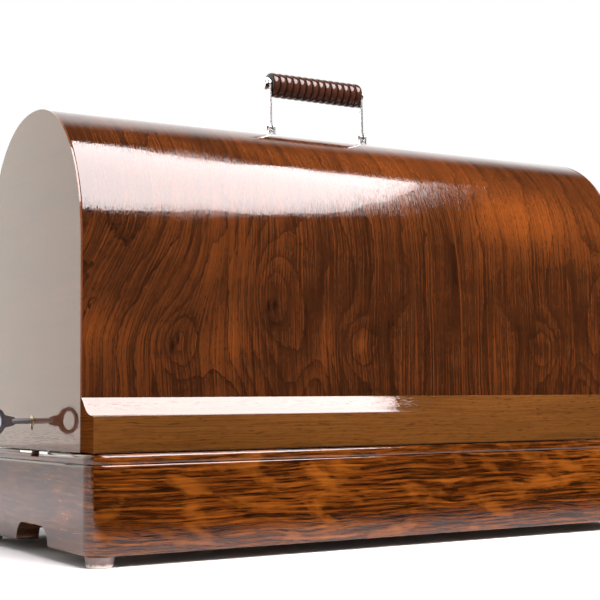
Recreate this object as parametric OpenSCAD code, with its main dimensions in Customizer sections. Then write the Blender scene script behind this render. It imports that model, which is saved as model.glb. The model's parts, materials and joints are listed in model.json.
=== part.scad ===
// Carrying case for a full-size table sewing machine: a bentwood cover with glued-in
// end panels and ogee mouldings, on a low oak base.  The cover hooks into the base at
// its right end and locks at its left end, where the key stands in the lock.
// Millimetres, +Z up, +X to the right along the case, the front faces -Y.
// The origin is on the floor, midway along the overall length with the key in place.

/* [Base box] */
// Length of the wooden base
base_l = 521; // [515:1:540]
// Depth of the wooden base, front to back
base_w = 260; // [256:1:270]
// Height of the base boards, without the feet
base_h = 68.8; // [64:0.2:80]
// Thickness of the base boards
board_t = 18; // [16:0.5:18]
// Radius of the upright corners
corner_r = 14; // [10:1:16]
// Height of the bead scribed along the top of the boards
bead_h = 7; // [5:0.5:10]
// Height of the rubber feet
foot_h = 8; // [6:0.5:10]
// Radius of a foot where it meets the wood
foot_r = 10.4; // [8:0.1:11]
// Width of the hand-hold cut in each end board
hold_w = 69; // [60:1:90]
// Height of the hand-hold above the lower edge
hold_h = 15; // [12:1:18]
// Place of the hand-hold along the end board
hold_y = -13.5; // [-20:0.5:20]

/* [Cover] */
// Length of the bentwood cover
cover_l = 514; // [508:1:520]
// Depth of the bentwood cover over its sheets
cover_w = 205; // [200:1:208]
// Height of the cover from its lower edge
cover_h = 259; // [240:1:280]
// Height of the straight sides before the arch begins
spring_h = 142; // [120:1:160]
// Roundness of the arch: 2 is a plain ellipse
arch_n = 2.18; // [2:0.01:2.6]
// Thickness of the bent sheet
ply_t = 4; // [3:0.5:6]
// Thickness of the end panels
end_t = 14; // [12:0.5:16]
// Thickness of the end panels' face veneer, which laps over the ends of the sheet
face_t = 1.5; // [1:0.5:3]
// Gap between the cover's lower edge and the base
cover_gap = 0.8; // [0.4:0.1:1.5]

/* [Moulding] */
// How far a moulding stands out from the sheet
mould_t = 24.5; // [18:0.5:26]
// Height of a moulding, to the top of its ogee
mould_h = 38; // [30:1:45]
// Height of the moulding's flat lower face
mould_flat = 25.3; // [20:0.1:30]

/* [Handle] */
// Length of the ribbed grip
grip_l = 90.4; // [80:0.2:110]
// Radius over the ribs of the grip
grip_r = 10.5; // [9:0.5:13]
// Number of ribs turned on the grip
grip_ribs = 14; // [8:1:18]
// Distance from the handle's pivot to the grip's axis
handle_rise = 38.5; // [34:0.5:45]
// Angle at which the handle rests, tipped towards the back
handle_lean = 5; // [0:1:10]
// Height of the handle's pivot above the cover
pivot_rise = 8.9; // [8:0.1:12]

/* [Lock] */
// Place of the keyhole along the left end panel
key_y = -3.5; // [-6:0.5:0]
// Height of the keyhole above the cover's lower edge
key_rise = 21.4; // [20:0.2:24]
// How far the key stands out of the end panel
key_out = 37; // [34:1:42]
// Travel of the bolt when the key makes its quarter turn
bolt_throw = 6; // [5:0.5:6]

/* [Inside of the base] */
// Thickness of the plywood floor
floor_t = 6; // [4:0.5:8]
// Height of the floor's lower face above the ground
floor_z = 31; // [28:1:34]
// Radius of the pins that carry the machine's bed
bed_pin_r = 4.75; // [4:0.05:5]
// Half the distance between the two bed pins
bed_pin_half = 95; // [80:1:110]
// Height of the pads that the machine's bed rests on
bed_rest_z = 52; // [48:1:55]

/* [Hidden] */
$fn = 64;

// Finishes
oak = [0.44, 0.24, 0.11];
walnut = [0.42, 0.17, 0.08];
plain_wood = [0.62, 0.44, 0.27];
nickel = [0.80, 0.80, 0.78];
steel = [0.40, 0.43, 0.48];
brass = [0.72, 0.56, 0.28];
grip_brown = [0.20, 0.08, 0.05];
rubber = [0.52, 0.45, 0.43];
felt = [0.23, 0.33, 0.22];

// Room round a pin that runs in its hole, and round one that is driven in
fit = 0.05;
tight = 0.02;
// Room between parts that move past each other
slack = 0.3;
// How far a cut runs past the face it opens
past = 1;

// Main places, measured from the middle of the base
box_x = (key_out - (base_l - cover_l) / 2) / 2;
base_end = base_l / 2;
base_side = base_w / 2;
base_top = foot_h + base_h;
inner_end = base_end - board_t;
inner_side = base_side - board_t;
cover_end = cover_l / 2;
cover_side = cover_w / 2;
cover_z = base_top + cover_gap;
cover_top = cover_z + cover_h;
panel_face = cover_end - end_t;
floor_top = floor_z + floor_t;

// Moves the whole case so that the origin is midway along its overall length
module on_box() {
    translate([box_x, 0, 0]) children();
}

// A flat outline drawn in Y and Z, pulled out along +X
module pulled_x(length) {
    rotate([90, 0, 90]) linear_extrude(length) children();
}

// A flat outline drawn in X and Z, pulled out along Y and centred on it
module pulled_y(length) {
    translate([0, length / 2, 0]) rotate([90, 0, 0]) linear_extrude(length) children();
}

// A box given by its lowest and highest corners
module block(low, high) {
    translate(low) cube(high - low);
}

// A slotted countersunk screw, its head level with Z = 0 and its point down
module screw(length, r, head_r) {
    head_h = head_r - r;
    slot_w = 0.9;
    difference() {
        union() {
            translate([0, 0, -head_h]) cylinder(h = head_h, r1 = r, r2 = head_r);
            translate([0, 0, r - length]) cylinder(h = length - head_h - r, r = r);
            translate([0, 0, -length]) cylinder(h = r, r1 = 0.3, r2 = r);
        }
        block([-head_r, -slot_w / 2, -head_h / 2], [head_r, slot_w / 2, past]);
    }
}

// The hole for such a screw, open at the top
module screw_hole(length, r, head_r) {
    head_h = head_r - r;
    translate([0, 0, -head_h]) cylinder(h = head_h + past, r1 = r + fit, r2 = head_r + past + fit);
    translate([0, 0, -length - fit]) cylinder(h = length, r = r + fit);
}

// A tapered link: two round ends, the lower one on the origin, and straight sides between
// them that meet the ends just inside their tangents
module link_outline(r_low, r_high, reach) {
    tuck = 0.15;
    lean = asin((r_high - r_low) / reach);
    side = [cos(lean), -sin(lean)];
    low = (r_low - tuck) * side;
    high = [0, reach] + (r_high - tuck) * side;
    circle(r_low);
    translate([0, reach]) circle(r_high);
    polygon([low, high, [-high[0], high[1]], [-low[0], low[1]]]);
}

/* ---- Base box ---- */

groove_w = 1.6;
groove_d = 1.2;
bead_nose = 3;
arris = 1.5;
hold_r = hold_h;

// Section of a base board: 0 is the middle of a corner's curve, the face is at corner_r
function board_section(inner) = let (
    groove_z = base_top - bead_h,
    nose = [for (a = [0 : 15 : 90]) [
        corner_r - bead_nose + bead_nose * cos(a), base_top - bead_nose + bead_nose * sin(a)]]
) concat(
    [[inner, foot_h], [corner_r - arris, foot_h], [corner_r, foot_h + arris],
     [corner_r, groove_z - groove_w / 2], [corner_r - groove_d, groove_z],
     [corner_r, groove_z + groove_w / 2]],
    nose, [[inner, base_top]]);

// One straight run of board, its face towards -Y
module board_run(length) {
    translate([-length / 2, 0, 0]) pulled_x(length) mirror([1, 0])
        polygon(board_section(corner_r - board_t));
}

// The four boards as one ring, before the mitres part them
module base_ring() {
    run_x = base_end - corner_r;
    run_y = base_side - corner_r;
    for (turn = [0, 180]) rotate(turn) {
        translate([0, -run_y, 0]) board_run(2 * run_x);
        rotate(90) translate([0, -run_x, 0]) board_run(2 * run_y);
        translate([run_x, run_y, 0]) rotate_extrude(angle = 90) polygon(board_section(0));
        translate([-run_x, run_y, 0]) rotate(90) rotate_extrude(angle = 90)
            polygon(board_section(0));
    }
}

foot_inset = 11.5;
foot_screw_l = 22;
foot_screw_r = 1.9;
foot_screw_head = 3.8;
foot_recess = 3;

module at_feet() {
    for (sx = [-1, 1], sy = [-1, 1])
        translate([sx * (base_end - foot_inset), sy * (base_side - foot_inset), 0]) children();
}

module foot_screw_place() {
    translate([0, 0, foot_recess]) mirror([0, 0, 1]) children();
}

// One board of the ring: what lies between its two mitres
module mitred() {
    intersection() {
        difference() {
            base_ring();
            at_feet() foot_screw_place() screw_hole(foot_screw_l, foot_screw_r, foot_screw_head);
        }
        translate([0, 0, -past]) linear_extrude(base_top + 2 * past) children();
    }
}

// The plan of a mitred board that lies towards -Y
module long_wedge() {
    deep = base_side / 2;
    polygon([[-base_end - past, -base_side - past], [base_end + past, -base_side - past],
             [base_end - deep, -base_side + deep], [-base_end + deep, -base_side + deep]]);
}

// The plan of a mitred board that lies towards -X
module end_wedge() {
    deep = base_side / 2;
    polygon([[-base_end - past, -base_side - past], [-base_end + deep, -base_side + deep],
             [-base_end + deep, base_side - deep], [-base_end - past, base_side + past]]);
}

// The hand-hold through an end board
module hand_hold() {
    half = hold_w / 2 - hold_r;
    translate([-base_end - past, hold_y, foot_h]) pulled_x(board_t + 2 * past) {
        for (side = [-1, 1]) translate([side * half, 0]) circle(hold_r);
        translate([-half, -hold_r]) square([2 * half, 2 * hold_r]);
    }
}

module base_front_board() {
    on_box() color(oak) mitred() long_wedge();
}

module base_back_board() {
    on_box() color(oak) difference() {
        mitred() mirror([0, 1]) long_wedge();
        bed_bracket_screw_places() screw_hole(bracket_screw_l, bracket_screw_r, bracket_screw_head);
    }
}

// Strike plate in the top of the left end board, and the room for the bolt under it
strike_low = -46;
strike_high = 14;
strike_t = 2;
strike_edge = base_end - 0.4;
strike_deep = 16.5;
strike_slot = [-27, -10];
strike_notch = [-29, -12];
strike_notch_h = 4;
strike_pocket = [-35, -8];
strike_pocket_h = 16;
bolt_x = -base_end + 12.5;
bolt_t = 2.4;
strike_screw_y = [-41, 6];
strike_screw_r = 1.5;
strike_screw_head = 3;
strike_screw_l = 13;

module strike_screw_places() {
    for (y = strike_screw_y) translate([-base_end + 9, y, base_top]) children();
}

module strike_cuts(slot_low, slot_high) {
    half = bolt_t / 2 + 1.6;
    block([bolt_x - half, slot_low, base_top - strike_pocket_h],
          [bolt_x + half, slot_high, base_top + past]);
    block([-base_end - past, strike_notch[0], base_top - strike_notch_h],
          [bolt_x, strike_notch[1], base_top + past]);
}

module base_left_board() {
    on_box() color(oak) difference() {
        mitred() end_wedge();
        hand_hold();
        block([-strike_edge, strike_low, base_top - strike_t],
              [-strike_edge + strike_deep, strike_high, base_top + past]);
        strike_cuts(strike_pocket[0], strike_pocket[1]);
        strike_screw_places() screw_hole(strike_screw_l, strike_screw_r, strike_screw_head);
    }
}

module strike_plate() {
    on_box() color(nickel) difference() {
        block([-strike_edge, strike_low, base_top - strike_t],
              [-strike_edge + strike_deep, strike_high, base_top]);
        strike_cuts(strike_slot[0], strike_slot[1]);
        strike_screw_places() screw_hole(strike_screw_l, strike_screw_r, strike_screw_head);
    }
}

module strike_screws() {
    on_box() color(steel) strike_screw_places()
        screw(strike_screw_l, strike_screw_r, strike_screw_head);
}

// Keepers for the cover's tongues: angle plates let into the right end board
tongue_y = 62;
tongue_w = 16;
tongue_t = 2.5;
tongue_toe = 3.5;
tongue_toe_h = 3;
tongue_z = foot_h + 51;
tongue_top = cover_z + 44;
keeper_w = 34;
keeper_t = 1.8;
keeper_x = panel_face + 0.6;
keeper_reach = 15;
keeper_low = tongue_z + tongue_toe_h + 4;
pocket_side = 1.2;
keeper_screw_r = 1.6;
keeper_screw_head = 3.2;
keeper_screw_l = 14;

module at_tongues() {
    for (side = [-1, 1]) translate([0, side * tongue_y, 0]) children();
}

module keeper_screw_places() {
    at_tongues() for (side = [-1, 1])
        translate([keeper_x + 9, side * (keeper_w / 2 - 6), base_top]) children();
}

module keeper_angles() {
    at_tongues() {
        block([keeper_x, -keeper_w / 2, base_top - keeper_t],
              [keeper_x + keeper_reach, keeper_w / 2, base_top]);
        block([keeper_x, -keeper_w / 2, keeper_low], [keeper_x + keeper_t, keeper_w / 2, base_top]);
    }
}

module base_right_board() {
    room = tongue_w / 2 + pocket_side;
    on_box() color(oak) difference() {
        mitred() mirror([1, 0]) end_wedge();
        mirror([1, 0, 0]) hand_hold();
        keeper_angles();
        at_tongues() {
            block([inner_end - past, -keeper_w / 2, keeper_low],
                  [keeper_x, keeper_w / 2, base_top + past]);
            block([inner_end - past, -room, tongue_z - 2],
                  [panel_face + tongue_toe + 1, room, keeper_low]);
        }
        keeper_screw_places() screw_hole(keeper_screw_l, keeper_screw_r, keeper_screw_head);
    }
}

module keeper_plates() {
    on_box() color(nickel) difference() {
        keeper_angles();
        keeper_screw_places() screw_hole(keeper_screw_l, keeper_screw_r, keeper_screw_head);
    }
}

module keeper_screws() {
    on_box() color(steel) keeper_screw_places()
        screw(keeper_screw_l, keeper_screw_r, keeper_screw_head);
}

module base_floor() {
    on_box() color(plain_wood)
        block([-inner_end, -inner_side, floor_z], [inner_end, inner_side, floor_top]);
}

corner_block = 32;

module base_corner_blocks() {
    on_box() color(plain_wood) for (sx = [-1, 1], sy = [-1, 1]) {
        x = sx * inner_end;
        y = sy * inner_side;
        translate([0, 0, foot_h + past]) linear_extrude(floor_z - foot_h - past)
            polygon([[x, y], [x - sx * corner_block, y], [x, y - sy * corner_block]]);
    }
}

module rubber_feet() {
    taper = 1.5;
    on_box() color(rubber) at_feet() difference() {
        cylinder(h = foot_h, r1 = foot_r - taper, r2 = foot_r);
        translate([0, 0, -past]) cylinder(h = foot_recess + past, r = foot_screw_head + 1);
        foot_screw_place() screw_hole(foot_screw_l, foot_screw_r, foot_screw_head);
    }
}

module foot_screws() {
    on_box() color(steel) at_feet() foot_screw_place()
        screw(foot_screw_l, foot_screw_r, foot_screw_head);
}

/* ---- Inside of the base ---- */

bed_low = -236;
bed_high = 132;
bed_half_y = 89;
rest_size = [26, 20];
pad_t = 3;

module rest_block(low, high) {
    for (x = [bed_low + rest_size[0] / 2, bed_high - rest_size[0] / 2], side = [-1, 1])
        translate([x, side * (bed_half_y - rest_size[1] / 2), 0])
            block([-rest_size[0] / 2, -rest_size[1] / 2, low],
                  [rest_size[0] / 2, rest_size[1] / 2, high]);
}

module bed_rest_blocks() {
    on_box() color(plain_wood) rest_block(floor_top, bed_rest_z - pad_t);
}

module felt_pads() {
    on_box() color(felt) rest_block(bed_rest_z - pad_t, bed_rest_z);
}

// Accessory compartment at the right, with a lid on two pivots
comp_left = 141;
comp_right = 230;
comp_wall = 8;
comp_top = 64;
comp_lid_t = 7;
comp_half_y = 97;
comp_pivot_r = 2;
comp_pivot_in = 9;
comp_pivot_x = comp_right - comp_lid_t / 2 - 0.5;
comp_pivot_z = comp_top + slack + comp_lid_t / 2;

module compartment_walls() {
    on_box() color(plain_wood) for (x = [comp_left, comp_right - comp_wall])
        block([x, -comp_half_y, floor_top], [x + comp_wall, comp_half_y, comp_top]);
}

module compartment_cheeks() {
    on_box() color(plain_wood) for (side = [-1, 1]) difference() {
        block([comp_left, side > 0 ? comp_half_y : -inner_side, floor_top],
              [comp_right, side > 0 ? inner_side : -comp_half_y, comp_pivot_z + comp_lid_t / 2]);
        translate([comp_pivot_x, side * comp_half_y, comp_pivot_z]) rotate([90, 0, 0])
            cylinder(h = 2 * comp_pivot_in, r = comp_pivot_r + fit, center = true);
    }
}

module compartment_pivots() {
    reach = 7;
    on_box() color(brass) for (side = [-1, 1])
        translate([comp_pivot_x, side * (comp_half_y + (comp_pivot_in - reach) / 2), comp_pivot_z])
            rotate([90, 0, 0])
                cylinder(h = comp_pivot_in + reach - 2 * fit, r = comp_pivot_r, center = true);
}

module compartment_lid() {
    half_y = comp_half_y - 0.5;
    finger_r = 12;
    bore = 7.5;
    on_box() color(plain_wood) difference() {
        translate([0, 0, comp_pivot_z]) pulled_y(2 * half_y) {
            translate([comp_left, -comp_lid_t / 2])
                square([comp_pivot_x - comp_left, comp_lid_t]);
            translate([comp_pivot_x, 0]) circle(comp_lid_t / 2);
        }
        translate([comp_left, 0, comp_top]) cylinder(h = 3 * comp_lid_t, r = finger_r, center = true);
        for (side = [-1, 1]) translate([comp_pivot_x, side * half_y, comp_pivot_z])
            rotate([90, 0, 0]) cylinder(h = 2 * bore, r = comp_pivot_r + fit, center = true);
    }
}

// Hinges for the machine's bed: brackets on the back board, pins that swing up
hinge_mid = (bed_low + bed_high) / 2;
hinge_y = 91;
hinge_z = 62;
hinge_r = 6.5;
axle_r = 3;
ear_gap = 14;
ear_t = 3;
bracket_w = 44;
bracket_t = 3;
bracket_low = 44;
bracket_high = 70;
bed_pin_l = 34;
bracket_screw_r = 1.8;
bracket_screw_head = 3.6;
bracket_screw_l = 14;

module at_bed_hinges() {
    for (side = [-1, 1]) translate([hinge_mid + side * bed_pin_half, 0, 0]) children();
}

module bed_bracket_screw_places() {
    at_bed_hinges() for (side = [-1, 1])
        translate([side * (bracket_w / 2 - 6), inner_side - bracket_t, (bracket_low + bracket_high) / 2])
            rotate([90, 0, 0]) children();
}

module bed_hinge_brackets() {
    on_box() color(steel) difference() {
        at_bed_hinges() {
            block([-bracket_w / 2, inner_side - bracket_t, bracket_low],
                  [bracket_w / 2, inner_side, bracket_high]);
            for (side = [-1, 1])
                translate([side * (ear_gap + ear_t) / 2 - ear_t / 2, hinge_y, hinge_z])
                    pulled_x(ear_t) {
                        circle(hinge_r + 0.5);
                        translate([0, -hinge_r - 0.5])
                            square([inner_side - bracket_t - hinge_y, 2 * hinge_r + 1]);
                    }
        }
        at_bed_hinges() translate([0, hinge_y, hinge_z]) rotate([0, 90, 0])
            cylinder(h = 3 * ear_gap, r = axle_r + tight, center = true);
        bed_bracket_screw_places()
            screw_hole(bracket_screw_l, bracket_screw_r, bracket_screw_head);
    }
}

module bed_hinge_screws() {
    on_box() color(steel) bed_bracket_screw_places()
        screw(bracket_screw_l, bracket_screw_r, bracket_screw_head);
}

module bed_hinge_axles() {
    head_t = 1.5;
    half = ear_gap / 2 + ear_t;
    on_box() color(nickel) at_bed_hinges() translate([0, hinge_y, hinge_z]) rotate([0, 90, 0]) {
        cylinder(h = 2 * half, r = axle_r, center = true);
        for (side = [-1, 1]) translate([0, 0, side * (half + head_t / 2)])
            cylinder(h = head_t, r = axle_r + 1.5, center = true);
    }
}

module bed_hinge_pin(side) {
    nose = 1.5;
    collar_l = 8;
    collar_r = 6.2;
    translate([hinge_mid + side * bed_pin_half, hinge_y, hinge_z]) difference() {
        union() {
            rotate([0, 90, 0]) cylinder(h = ear_gap - 2 * slack, r = hinge_r, center = true);
            rotate([90, 0, 0]) cylinder(h = bed_pin_l - nose, r = bed_pin_r);
            rotate([90, 0, 0]) cylinder(h = collar_l, r = collar_r);
            translate([0, nose - bed_pin_l, 0]) rotate([90, 0, 0])
                cylinder(h = nose, r1 = bed_pin_r, r2 = bed_pin_r - nose);
        }
        rotate([0, 90, 0]) cylinder(h = 2 * ear_gap, r = axle_r + fit, center = true);
    }
}

module bed_hinge_pin_left() {
    on_box() color(nickel) bed_hinge_pin(-1);
}

module bed_hinge_pin_right() {
    on_box() color(nickel) bed_hinge_pin(1);
}

/* ---- Cover ---- */

arch_steps = 60;

// Outline of the cover across its width, drawn in from the outer face by inset
function arch_outline(inset) = let (
    half = cover_side - inset,
    rise = cover_h - spring_h - inset
) concat(
    [[half, 0]],
    [for (i = [0 : arch_steps]) let (a = 180 * i / arch_steps)
        [half * sign(cos(a)) * pow(abs(cos(a)), 2 / arch_n),
         spring_h + rise * pow(sin(a), 2 / arch_n)]],
    [[-half, 0]]);

module arched(low_x, high_x, inset) {
    translate([low_x, 0, cover_z]) pulled_x(high_x - low_x) polygon(arch_outline(inset));
}

module cover_shell() {
    on_box() color(walnut) difference() {
        translate([face_t - cover_end, 0, cover_z]) pulled_x(cover_l - 2 * face_t) difference() {
            polygon(arch_outline(0));
            hollow_outline();
        }
        bracket_screw_places() screw_hole(top_screw_l, top_screw_r, top_screw_head);
    }
}

// The hollow under the bent sheet, run past its open lower edge
module hollow_outline() {
    polygon(arch_outline(ply_t));
    half = cover_side - ply_t;
    translate([-half, -past]) square([2 * half, spring_h]);
}

// The left end panel: a board inside the sheet and a face veneer over both
module end_panel() {
    arched(-cover_end, -panel_face, ply_t);
    arched(-cover_end, face_t - cover_end, 0);
}

module cover_right_end() {
    on_box() color(walnut) difference() {
        mirror([1, 0, 0]) end_panel();
        tongue_screw_places() screw_hole(tongue_screw_l, tongue_screw_r, tongue_screw_head);
    }
}

// An S curve in four control points
function curve_at(p, t) = let (s = 1 - t)
    s * s * s * p[0] + 3 * s * s * t * p[1] + 3 * s * t * t * p[2] + t * t * t * p[3];

ogee = [[0.8, mould_h], [9, mould_h - 2], [8.5, mould_flat + 0.1], [mould_t, mould_flat]];
ogee_steps = 16;

module moulding(side) {
    foot_arris = 1;
    translate([-cover_end, side * cover_side, cover_z]) pulled_x(cover_l)
        mirror([side < 0 ? 1 : 0, 0])
            polygon(concat(
                [[0, 0], [mould_t - foot_arris, 0], [mould_t, foot_arris]],
                [for (i = [ogee_steps : -1 : 0]) curve_at(ogee, i / ogee_steps)],
                [[0, mould_h]]));
}

module cover_front_moulding() {
    on_box() color(walnut) moulding(-1);
}

module cover_back_moulding() {
    on_box() color(walnut) moulding(1);
}

glue_block = 10;

module cover_glue_blocks() {
    half = cover_side - ply_t;
    on_box() color(plain_wood) for (sx = [-1, 1], sy = [-1, 1])
        translate([0, 0, cover_z + 8]) linear_extrude(spring_h - 30)
            polygon([[sx * panel_face, sy * half], [sx * (panel_face - glue_block), sy * half],
                     [sx * panel_face, sy * (half - glue_block)]]);
}

batten_half = [76, 24];
batten_t = 12;

module cover_handle_batten() {
    on_box() color(plain_wood) difference() {
        intersection() {
            arched(-batten_half[0], batten_half[0], ply_t);
            block([-batten_half[0] - past, -batten_half[1], cover_top - ply_t - batten_t],
                  [batten_half[0] + past, batten_half[1], cover_top]);
        }
        bracket_screw_places() screw_hole(top_screw_l, top_screw_r, top_screw_head);
    }
}

// Hooked tongues on the inside of the right end panel
tongue_screw_r = 1.8;
tongue_screw_head = 3.6;
tongue_screw_l = 12;

module tongue_screw_places() {
    at_tongues() for (z = [cover_z + 16, tongue_top - 8])
        translate([panel_face - tongue_t, 0, z]) rotate([0, -90, 0]) children();
}

module cover_tongues() {
    on_box() color(nickel) difference() {
        at_tongues() {
            block([panel_face - tongue_t, -tongue_w / 2, tongue_z],
                  [panel_face, tongue_w / 2, tongue_top]);
            block([panel_face - tongue_t, -tongue_w / 2, tongue_z],
                  [panel_face + tongue_toe, tongue_w / 2, tongue_z + tongue_toe_h]);
        }
        tongue_screw_places() screw_hole(tongue_screw_l, tongue_screw_r, tongue_screw_head);
    }
}

module tongue_screws() {
    on_box() color(steel) tongue_screw_places()
        screw(tongue_screw_l, tongue_screw_r, tongue_screw_head);
}

/* ---- Lock ---- */

key_z = cover_z + key_rise;
case_low = [-cover_end + 5, -33, cover_z + 0.3];
case_high = [-panel_face - 1.2, 11, cover_z + 33];
case_wall = 1;
cap_ear = 9;
shaft_r = 2.1;
bit_reach = 6.2;
bit_t = 2.4;
liner_r = 4.3;
lock_screw_r = 1.5;
lock_screw_head = 3;
lock_screw_l = 9;

// The keyhole's outline across the panel
module keyhole_outline(room) {
    circle(shaft_r + room);
    translate([-bit_t / 2 - room, -bit_reach - room]) square([bit_t + 2 * room, bit_reach]);
}

module keyhole(low_x, high_x, room) {
    translate([low_x, key_y, key_z]) pulled_x(high_x - low_x) keyhole_outline(room);
}

module lock_screw_places() {
    for (y = [case_low[1] - cap_ear / 2, case_high[1] + cap_ear / 2])
        translate([-panel_face, y, (case_low[2] + case_high[2]) / 2])
            rotate([0, 90, 0]) children();
}

module cap_body() {
    block([case_high[0], case_low[1] - cap_ear, case_low[2]],
          [-panel_face, case_high[1] + cap_ear, case_high[2]]);
}

module cover_left_end() {
    on_box() color(walnut) difference() {
        end_panel();
        block([case_low[0], case_low[1], cover_z - past], [case_high[0], case_high[1], case_high[2]]);
        block([case_low[0], case_low[1], cover_z - past],
              [-panel_face + past, case_high[1], case_low[2] + past]);
        cap_body();
        keyhole(-cover_end - past, case_low[0] + past, 0.4);
        translate([-cover_end - past, key_y, key_z]) pulled_x(liner_deep + past) circle(liner_r);
        lock_screw_places() screw_hole(lock_screw_l, lock_screw_r, lock_screw_head);
    }
}

liner_deep = 4;

module keyhole_liner() {
    on_box() color(brass) difference() {
        translate([-cover_end - 0.3, key_y, key_z]) pulled_x(liner_deep + 0.3) circle(liner_r);
        keyhole(-cover_end - past, case_low[0] + past, 0.1);
    }
}

module lock_case() {
    wall = [case_wall, case_wall, case_wall];
    shank_room = bolt_t / 2 + 0.5;
    on_box() color(steel) difference() {
        block(case_low, case_high);
        block(case_low + wall, [case_high[0] + past, case_high[1] - case_wall,
                                case_high[2] - case_wall]);
        block([bolt_x - shank_room, bolt_shank[0] - bolt_throw - 1, case_low[2] - past],
              [bolt_x + shank_room, bolt_shank[1] + 1, case_low[2] + 2 * case_wall]);
        keyhole(case_low[0] - past, case_low[0] + case_wall + past, 0.4);
    }
}

module lock_cap() {
    on_box() color(steel) difference() {
        cap_body();
        lock_screw_places() screw_hole(lock_screw_l, lock_screw_r, lock_screw_head);
    }
}

module lock_screws() {
    on_box() color(steel) lock_screw_places()
        screw(lock_screw_l, lock_screw_r, lock_screw_head);
}

// The bolt slides in the case; its hooked shank hangs through the strike plate
bolt_body = [-22, 6];
bolt_shank = [-20, -12];
bolt_hook = 5;
bolt_low = base_top - 11;
bolt_mid = case_low[2] + 6;
bolt_top = key_z - shaft_r - 0.6;
talon = 6.4;
hook_h = 4;

module lock_bolt() {
    on_box() color(nickel) translate([bolt_x - bolt_t / 2, 0, 0]) pulled_x(bolt_t) difference() {
        union() {
            translate([bolt_body[0], bolt_mid])
                square([bolt_body[1] - bolt_body[0], bolt_top - bolt_mid]);
            translate([bolt_shank[0], bolt_low])
                square([bolt_shank[1] - bolt_shank[0], bolt_mid - bolt_low + past]);
            translate([bolt_shank[0] - bolt_hook, bolt_low]) square([bolt_hook + past, hook_h]);
        }
        translate([key_y - talon / 2, key_z - bit_reach - 0.6]) square([talon, bit_reach]);
    }
}

// The key: an oval bow, a flared neck, a round shaft and a bit that points down
bow_half = [8.2, 10.3];
bow_hole = [5, 7.2];
bow_t = 3;
neck_x = [14, 22];
neck_r = 3.9;

module oval(half) {
    polygon([for (a = [0 : 10 : 350]) [half[0] * cos(a), half[1] * sin(a)]]);
}

module key() {
    tip_x = bolt_x + 3.3;
    bow_x = -cover_end - key_out + bow_half[0];
    on_box() color(steel) translate([0, key_y, 0]) {
        translate([0, 0, key_z]) {
            translate([-cover_end - neck_x[0] - 2, 0, 0]) rotate([0, 90, 0])
                cylinder(h = tip_x + cover_end + neck_x[0] + 2, r = shaft_r);
            pulled_y(bow_t) {
                difference() {
                    union() {
                        translate([bow_x, 0]) oval(bow_half);
                        polygon([[-cover_end - neck_x[0], neck_r * 0.75],
                                 [-cover_end - neck_x[1] - 2, neck_r + 1.5],
                                 [-cover_end - neck_x[1] - 2, -neck_r - 1.5],
                                 [-cover_end - neck_x[0], -neck_r * 0.75]]);
                    }
                    translate([bow_x - 0.6, 0]) oval(bow_hole);
                }
            }
        }
        block([tip_x - 4.6, -bit_t / 2, key_z - bit_reach], [tip_x, bit_t / 2, key_z]);
    }
}

/* ---- Handle ---- */

pivot_z = cover_top + pivot_rise;
grip_z = pivot_z + handle_rise;
arm_t = 2;
bracket_x = grip_l / 2 + slack + arm_t / 2;
bracket_half = [20, 8.5];
foot_plate_t = 1.6;
lug_gap = 2.6;
lug_t = 2;
lug_r = 4.6;
pivot_r = 1.6;
eye_r = 3.6;
arm_top_r = 6.4;
rod_r = 2.8;
rod_head_r = 4.6;
rod_head_h = 2.6;
top_screw_r = 1.8;
top_screw_head = 3.3;
top_screw_l = 15;
top_screw_off = 12.5;

module at_brackets() {
    for (side = [-1, 1]) translate([side * bracket_x, 0, 0]) children();
}

module bracket_screw_places() {
    at_brackets() for (side = [-1, 1])
        translate([side * top_screw_off, 0, cover_top + fit + foot_plate_t]) children();
}

// A pointed oval made of two arcs
module leaf_outline(half_l, half_w) {
    arc_r = (half_l * half_l + half_w * half_w) / (2 * half_w);
    intersection() {
        translate([0, arc_r - half_w]) circle(arc_r, $fn = 128);
        translate([0, half_w - arc_r]) circle(arc_r, $fn = 128);
    }
}

module handle_brackets() {
    on_box() color(nickel) difference() {
        at_brackets() {
            translate([0, 0, cover_top + fit]) linear_extrude(foot_plate_t)
                leaf_outline(bracket_half[0], bracket_half[1]);
            for (side = [-1, 1])
                translate([side * (lug_gap + lug_t) / 2 - lug_t / 2, 0, cover_top + fit])
                    pulled_x(lug_t) {
                        translate([0, pivot_rise - fit]) circle(lug_r);
                        translate([-lug_r, foot_plate_t / 2])
                            square([2 * lug_r, pivot_rise - foot_plate_t / 2 - fit]);
                    }
        }
        at_brackets() translate([0, 0, pivot_z]) rotate([0, 90, 0])
            cylinder(h = 3 * lug_gap, r = pivot_r + tight, center = true);
        bracket_screw_places() screw_hole(top_screw_l, top_screw_r, top_screw_head);
    }
}

module handle_bracket_screws() {
    on_box() color(nickel) bracket_screw_places()
        screw(top_screw_l, top_screw_r, top_screw_head);
}

module handle_pivot_pins() {
    head_t = 1;
    half = lug_gap / 2 + lug_t;
    on_box() color(nickel) at_brackets() translate([0, 0, pivot_z]) rotate([0, 90, 0]) {
        cylinder(h = 2 * half, r = pivot_r, center = true);
        for (side = [-1, 1]) translate([0, 0, side * (half + head_t / 2)])
            cylinder(h = head_t, r = pivot_r + 1.4, center = true);
    }
}

// Tips the handle's pieces about its pivot
module leaned() {
    translate([0, 0, pivot_z]) rotate([-handle_lean, 0, 0]) translate([0, 0, -pivot_z]) children();
}

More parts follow.
